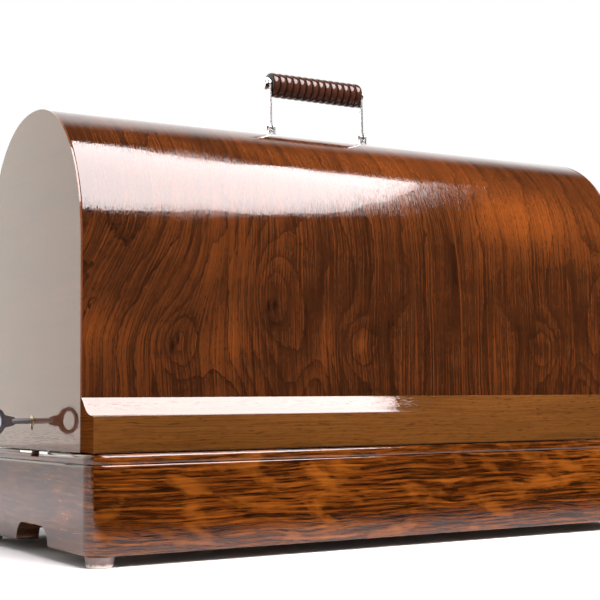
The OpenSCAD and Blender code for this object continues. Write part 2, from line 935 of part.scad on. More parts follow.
module handle_arms() {
    on_box() color(nickel) leaned() for (side = [-1, 1]) mirror([side < 0 ? 1 : 0, 0, 0]) difference() {
        translate([grip_l / 2 + slack, 0, pivot_z]) pulled_x(arm_t)
            link_outline(eye_r, arm_top_r, handle_rise);
        translate([bracket_x, 0, pivot_z]) rotate([0, 90, 0])
            cylinder(h = 2 * lug_gap, r = pivot_r + fit, center = true);
        translate([bracket_x, 0, grip_z]) rotate([0, 90, 0])
            cylinder(h = 2 * lug_gap, r = rod_r + tight, center = true);
    }
}

module handle_rod() {
    half = grip_l / 2 + slack + arm_t;
    on_box() color(steel) leaned() translate([0, 0, grip_z]) rotate([0, 90, 0])
        cylinder(h = 2 * half, r = rod_r, center = true);
}

module handle_rod_screws() {
    half = grip_l / 2 + slack + arm_t;
    slot_w = 1.2;
    edge = 0.8;
    on_box() color(nickel) leaned() for (side = [-1, 1]) mirror([side < 0 ? 1 : 0, 0, 0])
        translate([half, 0, grip_z]) difference() {
            rotate([0, 90, 0]) {
                cylinder(h = rod_head_h - edge, r = rod_head_r);
                translate([0, 0, rod_head_h - edge])
                    cylinder(h = edge, r1 = rod_head_r, r2 = rod_head_r - edge);
            }
            block([rod_head_h - 1.2, -rod_head_r, -slot_w / 2],
                  [rod_head_h + past, rod_head_r, slot_w / 2]);
        }
}

// Half section of the grip: rounded ribs with narrow grooves between them
rib_steps = 6;
rib_depth = 1.9;
rib_pitch = grip_l / grip_ribs;

function rib_radius(t) = grip_r - rib_depth + rib_depth * pow(sin(180 * t), 0.6);

function grip_section() = concat(
    [[rod_r + 0.1, -grip_l / 2]],
    [for (i = [0 : grip_ribs - 1], k = [0 : rib_steps - 1]) let (t = k / rib_steps)
        [rib_radius(t), -grip_l / 2 + (i + t) * rib_pitch]],
    [[rib_radius(0), grip_l / 2], [rod_r + 0.1, grip_l / 2]]);

module handle_grip() {
    on_box() color(grip_brown) leaned() translate([0, 0, grip_z]) rotate([0, 90, 0])
        rotate_extrude() polygon(grip_section());
}

base_front_board();
base_back_board();
base_left_board();
base_right_board();
base_floor();
base_corner_blocks();
rubber_feet();
foot_screws();
strike_plate();
strike_screws();
keeper_plates();
keeper_screws();
bed_rest_blocks();
felt_pads();
compartment_walls();
compartment_cheeks();
compartment_pivots();
compartment_lid();
bed_hinge_brackets();
bed_hinge_screws();
bed_hinge_axles();
bed_hinge_pin_left();
bed_hinge_pin_right();
cover_shell();
cover_left_end();
cover_right_end();
cover_front_moulding();
cover_back_moulding();
cover_glue_blocks();
cover_handle_batten();
cover_tongues();
tongue_screws();
lock_case();
lock_cap();
lock_screws();
keyhole_liner();
lock_bolt();
key();
handle_brackets();
handle_bracket_screws();
handle_pivot_pins();
handle_arms();
handle_rod();
handle_rod_screws();
handle_grip();
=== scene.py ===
"""Finishes, rounded pieces, light and camera of a bentwood sewing machine case.

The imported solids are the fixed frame.  This script gives every piece its finish, and
remakes the ones whose curves and rounded edges show: the cover's bent sheet, end panels and
mouldings, the handle, the key, the base's boards and its feet.  All lengths are in metres.
"""

from __future__ import annotations

import json
import logging
import math
from dataclasses import dataclass, field
from enum import Enum
from typing import Any, Callable, Optional, Sequence

import bmesh
import bpy
from mathutils import Matrix, Vector

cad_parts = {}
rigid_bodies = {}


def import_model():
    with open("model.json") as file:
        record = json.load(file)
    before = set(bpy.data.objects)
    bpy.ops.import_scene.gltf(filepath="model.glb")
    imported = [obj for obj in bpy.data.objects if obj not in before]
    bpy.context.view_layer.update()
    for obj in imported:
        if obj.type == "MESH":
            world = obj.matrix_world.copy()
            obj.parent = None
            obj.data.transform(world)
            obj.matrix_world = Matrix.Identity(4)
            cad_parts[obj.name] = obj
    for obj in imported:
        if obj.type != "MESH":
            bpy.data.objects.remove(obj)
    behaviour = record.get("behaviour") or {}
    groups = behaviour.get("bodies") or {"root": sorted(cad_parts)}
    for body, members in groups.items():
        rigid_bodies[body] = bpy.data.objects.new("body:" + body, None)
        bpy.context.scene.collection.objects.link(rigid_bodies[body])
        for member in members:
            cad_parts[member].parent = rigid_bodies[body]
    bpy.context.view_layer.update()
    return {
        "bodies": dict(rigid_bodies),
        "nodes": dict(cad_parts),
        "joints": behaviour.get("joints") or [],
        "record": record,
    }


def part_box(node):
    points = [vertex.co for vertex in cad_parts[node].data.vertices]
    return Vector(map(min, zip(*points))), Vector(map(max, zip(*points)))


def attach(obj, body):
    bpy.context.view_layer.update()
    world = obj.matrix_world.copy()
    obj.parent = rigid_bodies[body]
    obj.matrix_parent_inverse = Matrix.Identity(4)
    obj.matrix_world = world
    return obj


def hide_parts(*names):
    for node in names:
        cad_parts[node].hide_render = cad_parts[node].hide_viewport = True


LOG = logging.getLogger("sewing_case")
MM = 0.001

Colour = tuple[float, float, float]
Point = tuple[float, float, float]
Flat = tuple[float, float]
Frame = dict[str, Any]
Material = bpy.types.Material
Object = bpy.types.Object
Value = Any  # a Flow, a socket, a number, a colour or a vector


class Axis(Enum):
    """A direction of the frame, as an index into a point."""

    X = 0
    Y = 1
    Z = 2


# ---------------------------------------------------------------- node helpers


def sign(operation: str, swapped: bool = False) -> Callable[[Flow, Value], Flow]:
    """Makes the method behind one arithmetic sign.

    Args:
        operation: The Math node's operation.
        swapped: Whether the value on the left is the other one.

    Returns:
        The method.
    """
    def method(self: Flow, other: Value) -> Flow:
        """Adds the Math node of this sign."""
        return self.book.math(operation, *((other, self) if swapped else (self, other)))
    return method


@dataclass(frozen=True)
class Flow:
    """A value inside a node tree, which takes ordinary arithmetic."""

    book: NodeBook
    socket: bpy.types.NodeSocket

    __add__, __radd__ = sign("ADD"), sign("ADD", swapped=True)
    __sub__, __rsub__ = sign("SUBTRACT"), sign("SUBTRACT", swapped=True)
    __mul__, __rmul__ = sign("MULTIPLY"), sign("MULTIPLY", swapped=True)
    __truediv__, __rtruediv__ = sign("DIVIDE"), sign("DIVIDE", swapped=True)
    __pow__, __rpow__ = sign("POWER"), sign("POWER", swapped=True)

    def __abs__(self) -> Flow:
        """The value without its sign."""
        return self.book.math("ABSOLUTE", self)


class NodeBook:
    """Adds nodes to one node tree and links them, so that a finish reads like a recipe."""

    def __init__(self, tree: bpy.types.NodeTree) -> None:
        """Keeps the tree that nodes are added to.

        Args:
            tree: A shader or geometry node tree.
        """
        self.tree = tree

    def add(self, kind: str, **settings: Any) -> bpy.types.Node:
        """Adds a node and sets its properties.

        Args:
            kind: The node's type name.
            settings: Properties of the node and their values.

        Returns:
            The new node.
        """
        made = self.tree.nodes.new(kind)
        for name, value in settings.items():
            setattr(made, name, value)
        return made

    def socket(self, label: str, kind: str, way: str = "INPUT") -> Any:
        """Adds a named socket of a kind, such as Float, to the tree itself."""
        return self.tree.interface.new_socket(label, in_out=way, socket_type=f"NodeSocket{kind}")

    def out(self, node: bpy.types.Node, output: int | str = 0) -> Flow:
        """One output of a node, by its place or name."""
        return Flow(self, node.outputs[output])

    def feed(self, socket: bpy.types.NodeSocket, value: Value) -> None:
        """Links a socket to another one, or sets it to a constant.

        Args:
            socket: The input to feed.
            value: A flow, an output socket, a number, a colour or a vector.
        """
        value = value.socket if isinstance(value, Flow) else value
        if isinstance(value, bpy.types.NodeSocket):
            self.tree.links.new(value, socket)
        elif socket.type == "RGBA":
            socket.default_value = (*value, 1.0)[:4]
        else:
            socket.default_value = value

    def math(self, operation: str, *values: Value, clamp: bool = False) -> Flow:
        """Adds a Math node.

        Args:
            operation: The operation's name, such as MULTIPLY.
            values: One to three numbers or sockets.
            clamp: Whether the result is kept between 0 and 1.

        Returns:
            The result's socket.
        """
        made = self.add("ShaderNodeMath", operation=operation, use_clamp=clamp)
        for socket, value in zip(made.inputs, values):
            self.feed(socket, value)
        return self.out(made)

    def span(self, value: Value, low: Value, high: Value, to_low: Value = 0.0,
             to_high: Value = 1.0, smooth: bool = False) -> Flow:
        """Maps a range of values onto another, clamped at both ends.

        Args:
            value: The value to map.
            low: Where the range starts.
            high: Where the range ends.
            to_low: The result at the start.
            to_high: The result at the end.
            smooth: Whether the change eases in and out.

        Returns:
            The result's socket.
        """
        kind = "SMOOTHSTEP" if smooth else "LINEAR"
        made = self.add("ShaderNodeMapRange", interpolation_type=kind)
        for name, given in (("Value", value), ("From Min", low), ("From Max", high),
                            ("To Min", to_low), ("To Max", to_high)):
            self.feed(made.inputs[name], given)
        return self.out(made)

    def join(self, x: Value, y: Value, z: Value) -> Flow:
        """Makes a vector of three values."""
        made = self.add("ShaderNodeCombineXYZ")
        for socket, value in zip(made.inputs, (x, y, z)):
            self.feed(socket, value)
        return self.out(made)

    def split(self, vector: Value) -> tuple[Flow, Flow, Flow]:
        """Takes a vector apart into its three values."""
        made = self.add("ShaderNodeSeparateXYZ")
        self.feed(made.inputs[0], vector)
        return self.out(made, 0), self.out(made, 1), self.out(made, 2)

    def noise(self, vector: Value, scale: Value = 1.0, detail: float = 3.0,
              rough: float = 0.5, warp: float = 0.0) -> Flow:
        """Adds a Noise Texture.

        Args:
            vector: Where the noise is read.
            scale: Its scale.
            detail: How many finer layers it has.
            rough: How strong those layers are.
            warp: How far it is warped by itself.

        Returns:
            The noise, about 0 to 1.
        """
        made = self.add("ShaderNodeTexNoise")
        for name, given in (("Vector", vector), ("Scale", scale), ("Detail", detail),
                            ("Roughness", rough), ("Distortion", warp)):
            self.feed(made.inputs[name], given)
        return self.out(made, "Fac")

    def mix(self, share: Value, first: Value, second: Value) -> Flow:
        """Mixes two colours.

        Args:
            share: How much of the second shows.
            first: A colour or a socket.
            second: A colour or a socket.

        Returns:
            The mixed colour's socket.
        """
        made = self.add("ShaderNodeMix", data_type="RGBA")
        for index, value in ((0, share), (6, first), (7, second)):
            self.feed(made.inputs[index], value)
        return self.out(made, 2)


class GroupBook(NodeBook):
    """A shader node group, built once and placed in many finishes."""

    _made: dict[str, bpy.types.NodeTree] = {}

    def __init__(self, name: str, inputs: Sequence[tuple[str, str, Any]],
                 outputs: Sequence[tuple[str, str]]) -> None:
        """Starts a group with its named sockets.

        Args:
            name: The group's name.
            inputs: Name, kind (Float, Vector or Color) and default of each input.
            outputs: Name and kind of each output.
        """
        super().__init__(bpy.data.node_groups.new(name, "ShaderNodeTree"))
        for label, kind, default in inputs:
            made = self.socket(label, kind)
            made.default_value = (*default, 1.0) if kind == "Color" else default
        for label, kind in outputs:
            self.socket(label, kind, "OUTPUT")
        self.given = {s.name: Flow(self, s) for s in self.add("NodeGroupInput").outputs}
        self.result = self.add("NodeGroupOutput").inputs
        GroupBook._made[name] = self.tree

    @classmethod
    def place(cls, book: NodeBook, name: str, **values: Value) -> dict[str, Flow]:
        """Places a group in a finish.

        Args:
            book: The finish's nodes.
            name: The group's name.
            values: Its inputs, with underscores for spaces.

        Returns:
            The group's outputs by name.
        """
        made = book.add("ShaderNodeGroup", node_tree=cls._made[name])
        for label, value in values.items():
            book.feed(made.inputs[label.replace("_", " ")], value)
        return {socket.name: Flow(book, socket) for socket in made.outputs}


class TreeBook(NodeBook):
    """A Geometry Nodes tree with named inputs, whose result becomes a plain mesh."""

    def __init__(self, name: str) -> None:
        """Starts a tree that gives out one geometry.

        Args:
            name: The tree's name.
        """
        super().__init__(bpy.data.node_groups.new(name, "GeometryNodeTree"))
        self.socket("Geometry", "Geometry", "OUTPUT")
        self.given = self.add("NodeGroupInput")
        self.identifiers: dict[str, str] = {}
        self.values: dict[str, Any] = {}

    def size(self, label: str, value: Any, kind: str = "Float") -> Flow:
        """Adds a named input.

        Args:
            label: The input's name.
            value: What it is set to on this piece.
            kind: Float, Int or Material.

        Returns:
            The socket that carries it inside the tree.
        """
        made = self.socket(label, kind)
        self.identifiers[label] = made.identifier
        self.values[label] = value
        return self.out(self.given, label)

    def lathe(self, points: Value, radius: Value, sides: int) -> Flow:
        """Turns a row of points into a round, closed bar with a radius at each point.

        Args:
            points: The mesh line that is the bar's axis.
            radius: The radius at each point.
            sides: How many sides the bar has.

        Returns:
            The bar's geometry.
        """
        curve = self.add("GeometryNodeMeshToCurve")
        self.feed(curve.inputs["Mesh"], points)
        ring = self.add("GeometryNodeCurvePrimitiveCircle")
        ring.inputs["Resolution"].default_value = sides
        ring.inputs["Radius"].default_value = 1.0
        bar = self.add("GeometryNodeCurveToMesh")
        self.feed(bar.inputs["Curve"], curve.outputs[0])
        self.feed(bar.inputs["Profile Curve"], ring.outputs[0])
        self.feed(bar.inputs["Scale"], radius)
        bar.inputs["Fill Caps"].default_value = True
        return self.out(bar)

    def index_share(self, count: Value) -> Flow:
        """How far along a row of count points each point is, from 0 to 1."""
        index = self.out(self.add("GeometryNodeInputIndex"))
        return index / (count - 1.0)

    def line(self, count: Value) -> Flow:
        """A row of points, to be set in place by placed."""
        made = self.add("GeometryNodeMeshLine")
        self.feed(made.inputs["Count"], count)
        return self.out(made)

    def placed(self, geometry: Value, position: Value) -> Flow:
        """Sets the position of each point of a geometry."""
        made = self.add("GeometryNodeSetPosition")
        self.feed(made.inputs["Geometry"], geometry)
        self.feed(made.inputs["Position"], position)
        return self.out(made)

    def build(self, name: str, geometry: Value, material: Material,
              crease: float = 35.0) -> Object:
        """Ends the tree, runs it and keeps its result as a plain mesh.

        Args:
            name: The new piece's name.
            geometry: The geometry that the tree makes.
            material: The piece's finish.
            crease: Edges sharper than this many degrees stay sharp.

        Returns:
            The piece, with no modifier left on it.
        """
        real = self.add("GeometryNodeRealizeInstances")
        self.feed(real.inputs["Geometry"], geometry)
        painted = self.add("GeometryNodeSetMaterial")
        self.feed(painted.inputs["Geometry"], real.outputs[0])
        self.feed(painted.inputs["Material"], self.size("Finish", material, "Material"))
        self.feed(self.add("NodeGroupOutput").inputs[0], painted.outputs[0])
        holder = in_scene(f"{name}_holder", bpy.data.meshes.new(f"{name}_holder"))
        modifier = holder.modifiers.new("tree", "NODES")
        modifier.node_group = self.tree
        for label, value in self.values.items():
            modifier[self.identifiers[label]] = value
        piece = plain_copy(holder, name)
        bpy.data.objects.remove(holder)
        shade(piece, crease)
        return piece


# ---------------------------------------------------------------- mesh helpers


def in_scene(name: str, data: Any) -> Object:
    """Makes an object of a mesh or a camera and links it to the scene."""
    made = bpy.data.objects.new(name, data)
    bpy.context.scene.collection.objects.link(made)
    return made


def plain_copy(source: Object, name: str) -> Object:
    """Turns an object with its modifiers into a new object with a plain mesh.

    Args:
        source: The object to copy.
        name: The new object's name.

    Returns:
        The new object, in the scene.
    """
    graph = bpy.context.evaluated_depsgraph_get()
    mesh = bpy.data.meshes.new_from_object(source.evaluated_get(graph))
    mesh.name = name
    return in_scene(name, mesh)


def shade(piece: Object, crease: float = 35.0) -> None:
    """Shades a piece smooth, apart from edges sharper than crease degrees."""
    mesh = piece.data
    mesh.polygons.foreach_set("use_smooth", [True] * len(mesh.polygons))
    mesh.set_sharp_from_angle(angle=math.radians(crease))
    mesh.update()


def object_from(name: str, build: bmesh.types.BMesh) -> Object:
    """Makes an object of a bmesh, with its faces pointing outwards.

    Args:
        name: The object's name.
        build: The bmesh, which is freed.

    Returns:
        The new object, in the scene.
    """
    bmesh.ops.recalc_face_normals(build, faces=build.faces)
    mesh = bpy.data.meshes.new(name)
    build.to_mesh(mesh)
    build.free()
    made = in_scene(name, mesh)
    shade(made)
    return made


def softened(node: str, frame: Frame, width: float, name: Optional[str] = None,
             only_at: Optional[float] = None) -> Object:
    """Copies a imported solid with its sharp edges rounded, to stand for it.

    Args:
        node: The solid's name.
        width: Width of the rounded edge.
        name: The new piece's name, or None for one made of the node's.
        only_at: The height of the edges that are rounded, or None for all sharp ones.

    Returns:
        The new piece.
    """
    flat, sharp = math.radians(1.0), math.radians(38.0)
    build = bmesh.new()
    build.from_mesh(frame["nodes"][node].data)
    bmesh.ops.remove_doubles(build, verts=build.verts, dist=1e-6)
    bmesh.ops.dissolve_limit(build, angle_limit=flat, verts=build.verts, edges=build.edges)
    if only_at is not None:
        level = [e for e in build.edges if all(abs(v.co.z - only_at) < 0.2 * MM for v in e.verts)]
        bmesh.ops.bevel(build, geom=level, offset=width, segments=4, affect="EDGES",
                        profile=0.5, clamp_overlap=True)
    mesh = bpy.data.meshes.new(f"{node}_plain")
    build.to_mesh(mesh)
    build.free()
    holder = in_scene(f"{node}_plain", mesh)
    mesh.polygons.foreach_set("use_smooth", [True] * len(mesh.polygons))
    if only_at is None:
        bevel = holder.modifiers.new("edges", "BEVEL")
        bevel.width = width
        bevel.segments = 2
        bevel.limit_method = "ANGLE"
        bevel.angle_limit = sharp
        bevel.use_clamp_overlap = True
    else:
        mesh.set_sharp_from_angle(angle=sharp)
    holder.modifiers.new("flat_faces", "WEIGHTED_NORMAL").keep_sharp = True
    piece = plain_copy(holder, name or f"{node}_finished")
    piece.data.materials.clear()
    bpy.data.objects.remove(holder)
    return piece


def prism(name: str, outline: Sequence[Flat], low_x: float, high_x: float,
          edge: float) -> Object:
    """A solid with one outline in Y and Z all along X, and rounded ends.

    Args:
        name: The piece's name.
        outline: Its points in Y and Z.
        low_x: Where it starts.
        high_x: Where it ends.
        edge: Width of the rounded edge at both ends.

    Returns:
        The new piece.
    """
    build = bmesh.new()
    rings = [[build.verts.new((x, y, z)) for y, z in outline] for x in (low_x, high_x)]
    for ring in rings:
        build.faces.new(ring)
    count = len(outline)
    for i in range(count):
        j = (i + 1) % count
        build.faces.new((rings[0][i], rings[0][j], rings[1][j], rings[1][i]))
    rim = [e for e in build.edges if len({round(v.co.x, 6) for v in e.verts}) == 1]
    bmesh.ops.bevel(build, geom=rim, offset=edge, segments=2, affect="EDGES", profile=0.5)
    return object_from(name, build)


def settle(piece: Object, body: str, slot: str, material: Material,
           *nodes: str) -> None:
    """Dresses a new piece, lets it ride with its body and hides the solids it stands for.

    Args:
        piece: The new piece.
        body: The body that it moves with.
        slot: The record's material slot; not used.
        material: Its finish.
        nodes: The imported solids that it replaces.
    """
    if not piece.data.materials:
        piece.data.materials.append(material)
    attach(piece, body)
    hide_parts(*nodes)


# ---------------------------------------------------------------- shared effects


def make_streaks() -> None:
    """The fine lines of wood: long thin streaks and short open pores along one axis."""
    book = GroupBook("fine_grain", [
        ("Across", "Float", 0.0), ("Along", "Float", 0.0), ("Depth", "Float", 0.0),
        ("Streaks per metre", "Float", 900.0), ("Pores per metre", "Float", 1100.0),
        ("Pore length", "Float", 0.012), ("Pore share", "Float", 0.4),
    ], [("Streaks", "Float"), ("Pores", "Float")])
    across, along, depth = book.given["Across"], book.given["Along"], book.given["Depth"]
    sway = book.noise(book.join(across * 20.0, along * 14.0, depth), detail=2.0)
    swayed = across + (sway - 0.5) * 0.006
    streak_at = book.join(swayed * book.given["Streaks per metre"], along * 9.0, depth * 40.0)
    streaks = book.noise(streak_at, detail=4.0, rough=0.65)
    pore_at = book.join(swayed * book.given["Pores per metre"], along / book.given["Pore length"],
                        depth * 60.0)
    raw = book.noise(pore_at, detail=2.0, rough=0.6)
    edge = 1.0 - book.given["Pore share"] * 0.75
    pores = book.span(raw, edge - 0.16, edge + 0.02)
    book.feed(book.result["Streaks"], streaks)
    book.feed(book.result["Pores"], pores)


def make_burr() -> None:
    """One swelling of the veneer's rings, which makes an eye or a knot in the figure."""
    book = GroupBook("burr", [
        ("Across", "Float", 0.0), ("Along", "Float", 0.0), ("At across", "Float", 0.0),
        ("At along", "Float", 0.0), ("Half width", "Float", 0.03),
        ("Half height", "Float", 0.06), ("Strength", "Float", 1.0),
    ], [("Swell", "Float")])
    dx = (book.given["Across"] - book.given["At across"]) / book.given["Half width"]
    dy = (book.given["Along"] - book.given["At along"]) / book.given["Half height"]
    square = dx * dx + dy * dy
    bell = math.e ** (square * -1.0)
    book.feed(book.result["Swell"], bell * book.given["Strength"])


def make_rings() -> None:
    """Dark growth lines where a height passes whole numbers, sharp on their upper side."""
    book = GroupBook("growth_lines", [
        ("Height", "Float", 0.0), ("Line share", "Float", 0.2), ("Unevenness", "Float", 0.5),
        ("Where", "Vector", (0.0, 0.0, 0.0)),
    ], [("Lines", "Float"), ("Shade", "Float")])
    height = book.given["Height"]
    step = book.math("FRACT", height)
    start = 1.0 - book.given["Line share"]
    rise = book.span(step, start, 0.97)
    fall = book.span(step, 0.97, 1.0, 1.0, 0.0)
    line = rise ** 2.0 * fall
    whole = book.math("FLOOR", height)
    loud = book.noise(book.join(whole * 7.31, 0.5, 0.5), detail=0.0)
    faded = book.noise(book.given["Where"], scale=14.0, detail=2.0)
    strength = book.span(loud, 0.3, 0.65) * book.span(faded, 0.3, 0.62)
    kept = 1.0 - book.given["Unevenness"] * (1.0 - strength)
    book.feed(book.result["Lines"], line * kept)
    book.feed(book.result["Shade"], step ** 2.5)


def make_varnish() -> None:
    """The unevenness of brushed and polished varnish, as a height."""
    book = GroupBook("varnish", [
        ("Where", "Vector", (0.0, 0.0, 0.0)), ("Grain", "Float", 0.0),
        ("Grain depth", "Float", 0.2),
    ], [("Height", "Float")])
    slow = book.noise(book.given["Where"], scale=16.0, detail=2.0)
    quick = book.noise(book.given["Where"], scale=190.0, detail=2.0)
    specks = book.span(book.noise(book.given["Where"], scale=1900.0, detail=1.0), 0.74, 0.78)
    height = slow + quick * 0.05 + specks * 0.03
    sunk = book.given["Grain"] * book.given["Grain depth"]
    book.feed(book.result["Height"], height - sunk)


def make_effects() -> None:
    """Builds the effects that several finishes share."""
    for make in (make_streaks, make_burr, make_rings, make_varnish):
        make()


# ---------------------------------------------------------------- finishes


@dataclass(frozen=True)
class Finish:
    """What every finish has: a name and a material built from its own values."""

    name: str

    def begin(self) -> tuple[Material, NodeBook, bpy.types.Node, Flow]:
        """Starts a material with its surface shader.

        Returns:
            The material, its nodes, the Principled BSDF and Object coordinates.
        """
        material = bpy.data.materials.new(self.name)
        material.use_nodes = True
        book = NodeBook(material.node_tree)
        place = book.out(book.add("ShaderNodeTexCoord"), "Object")
        return material, book, material.node_tree.nodes["Principled BSDF"], place

    @staticmethod
    def hold(shader: bpy.types.Node, **values: float) -> None:
        """Sets constants on a shader's own sockets, named with underscores for spaces."""
        for label, value in values.items():
            shader.inputs[label.replace("_", " ")].default_value = value

    @staticmethod
    def bump(book: NodeBook, height: Value, distance: float) -> Flow:
        """Turns a height into a normal."""
        made = book.add("ShaderNodeBump")
        book.feed(made.inputs["Height"], height)
        made.inputs["Distance"].default_value = distance
        return book.out(made, "Normal")

    @staticmethod
    def lacquer(book: NodeBook, shader: bpy.types.Node, normal: Flow, rough: float,
                weight: float = 1.0) -> None:
        """Coats a wood with clear lacquer that shares the wood's bumps.

        Args:
            book: The material's nodes.
            shader: Its Principled BSDF.
            normal: The bumped normal of the wood and the lacquer.
            rough: How dull the lacquer is.
            weight: How strongly it shows.
        """
        Finish.hold(shader, Coat_Weight=weight, Coat_Roughness=rough)
        book.feed(shader.inputs["Normal"], normal)
        book.feed(shader.inputs["Coat Normal"], normal)


@dataclass(frozen=True)
class Burr:
    """Where the veneer's rings swell: a knot or a long eye."""

    across: float
    along: float
    half_width: float
    half_height: float
    strength: float


@dataclass(frozen=True)
class FiguredVeneer(Finish):
    """Highly polished walnut veneer, two book-matched sheets whose grain runs round the arch."""

    dark: Colour = (0.0120, 0.0036, 0.0012)
    middle: Colour = (0.0360, 0.0105, 0.0028)
    light: Colour = (0.1300, 0.0340, 0.0060)
    line: Colour = (0.0055, 0.0018, 0.0010)
    fold: float = 0.0870
    seam: float = 0.0918
    seam_slant: float = 0.08
    rings_per_metre: float = 46.0
    slant_from: float = 0.116
    lean: float = 0.040
    lean_across: Flat = (-0.100, -0.165)
    lean_along: Flat = (0.070, 0.185)
    joint: Flat = (0.0002, 0.0006)
    rim: Flat = (0.0004, 0.0030)
    burrs: tuple[Burr, ...] = (
        Burr(-0.0873, 0.105, 0.034, 0.085, 3.6),
        Burr(-0.0873, 0.112, 0.013, 0.026, 2.2),
        Burr(-0.1678, 0.077, 0.016, 0.022, 2.6),
        Burr(-0.0083, 0.077, 0.015, 0.020, 2.6),
        Burr(-0.0480, 0.030, 0.024, 0.035, -2.4),
        Burr(-0.1240, 0.024, 0.020, 0.030, -2.0),
    )
    spots: tuple[Burr, ...] = (
        Burr(-0.0900, 0.1060, 0.0016, 0.0050, 1.0),
        Burr(-0.0845, 0.1075, 0.0016, 0.0055, 1.0),
        Burr(-0.0868, 0.0930, 0.0050, 0.0090, 0.5),
        Burr(-0.1700, 0.0750, 0.0015, 0.0050, 1.0),
        Burr(-0.1655, 0.0800, 0.0015, 0.0045, 0.9),
        Burr(-0.1850, 0.0460, 0.0022, 0.0070, 0.7),
    )
    # Lighter orange patches of the tone. The first is a painted orange sheen on the upper right of
    # the arch and the second a painted lighter band over its top; the other four are orange figure
    # in the wood.
    orange_figure_and_sheen: tuple[Burr, ...] = (
        Burr(0.1740, 0.1900, 0.060, 0.030, 0.26),
        Burr(0.0100, 0.2350, 0.100, 0.030, 0.12),
        Burr(-0.1180, 0.0780, 0.010, 0.024, 0.16),
        Burr(-0.0400, 0.0770, 0.009, 0.022, 0.14),
        Burr(-0.2300, 0.0880, 0.016, 0.022, 0.12),
        Burr(-0.0060, 0.0780, 0.005, 0.007, 0.20),
    )

    @staticmethod
    def gathered(book: NodeBook, places: Sequence[Burr], x: Value, along: Value) -> Flow:
        """The sum of soft ovals, each around its own place.

        Args:
            book: The material's nodes.
            places: Where the ovals lie and how strong they are.
            x: Distance along the case.
            along: Distance round the arch.

        Returns:
            The sum's socket.
        """
        total: Value = 0.0
        for spot in places:
            swell = GroupBook.place(book, "burr", Across=x, Along=along, At_across=spot.across,
                                    At_along=spot.along, Half_width=spot.half_width,
                                    Half_height=spot.half_height, Strength=spot.strength)
            total = total + swell["Swell"]
        return total

    def figure(self, book: NodeBook, x: Flow, along: Flow) -> Flow:
        """The height whose whole numbers are the veneer's growth lines.

        Args:
            book: The material's nodes.
            x: Distance along the case, folded at the seam and leaned.
            along: Distance round the arch.

        Returns:
            The height's socket.
        """
        broad = book.noise(book.join(x * 9.0, along * 2.6, 3.7), detail=2.0, rough=0.45)
        fine = book.noise(book.join(x * 38.0, along * 17.0, 8.1), detail=4.0, rough=0.58)
        height = x * self.rings_per_metre + broad * 9.0 + fine * 1.7
        return height + self.gathered(book, self.burrs, x, along)

    def build(self) -> Material:
        """Builds the material."""
        material, book, shader, place = self.begin()
        x, _, _ = book.split(place)
        along = book.out(book.add("ShaderNodeAttribute", attribute_name="along"), "Fac")
        above = book.math("MAXIMUM", along - self.slant_from, 0.0)
        seam = self.seam - above * self.seam_slant
        right = book.math("GREATER_THAN", x, seam)
        folded = self.fold - abs(x - self.fold)
        leaning = book.span(folded, *self.lean_across, 0.0, self.lean, smooth=True)
        leaned = folded - leaning * book.span(along, *self.lean_along, smooth=True)
        height = self.figure(book, leaned, along)
        rings = GroupBook.place(book, "growth_lines", Height=height, Line_share=0.13,
                                Unevenness=0.95, Where=book.join(x, along, 0.0))
        bent = leaned + height * 0.0016
        grain = GroupBook.place(book, "fine_grain", Across=bent, Along=along, Depth=0.0,
                                Streaks_per_metre=620.0, Pores_per_metre=760.0,
                                Pore_length=0.0075, Pore_share=0.40)
        hairs = GroupBook.place(book, "fine_grain", Across=bent, Along=along, Depth=0.3,
                                Streaks_per_metre=950.0, Pores_per_metre=1150.0,
                                Pore_length=0.0045, Pore_share=0.44)
        cloud = book.noise(book.join(leaned * 14.0, along * 5.0, 1.3), detail=3.0)
        curl = book.noise(book.join(x * 22.0, along * 60.0, 5.5), detail=2.0)
        tone = grain["Streaks"] * 0.48 + cloud * 0.36 + curl * 0.12 + hairs["Streaks"] * 0.52
        # Adds the orange figure patches, with the painted sheen on the upper part of the arch.
        tone = tone + self.gathered(book, self.orange_figure_and_sheen, x, along) + right * 0.02
        tone = tone - rings["Shade"] * 0.09
        low = book.mix(book.span(tone, 0.55, 0.74), self.dark, self.middle)
        colour = book.mix(book.span(tone, 0.72, 1.05), low, self.light)
        colour = book.mix(rings["Lines"] * 0.7, colour, self.line)
        pores = book.math("MAXIMUM", grain["Pores"], hairs["Pores"] * 0.7)
        colour = book.mix(pores * 0.6, colour, self.line)
        dark = book.math("MINIMUM", self.gathered(book, self.spots, folded, along), 1.0)
        colour = book.mix(dark, colour, self.line)
        near = x - seam
        joint = book.span(abs(near), *self.joint, 0.6, 0.0)
        rim = book.span(near, *self.rim, 0.35, 0.0) * right
        colour = book.mix(joint, book.mix(rim, colour, self.light), self.line)
        coat = GroupBook.place(book, "varnish", Where=place, Grain=pores, Grain_depth=0.07)
        book.feed(shader.inputs["Base Color"], colour)
        book.feed(shader.inputs["Roughness"], book.span(grain["Streaks"], 0.3, 0.7, 0.5, 0.4))
        self.hold(shader, Specular_IOR_Level=0.0)
        self.lacquer(book, shader, self.bump(book, coat["Height"], 0.0004), 0.02)
        return material


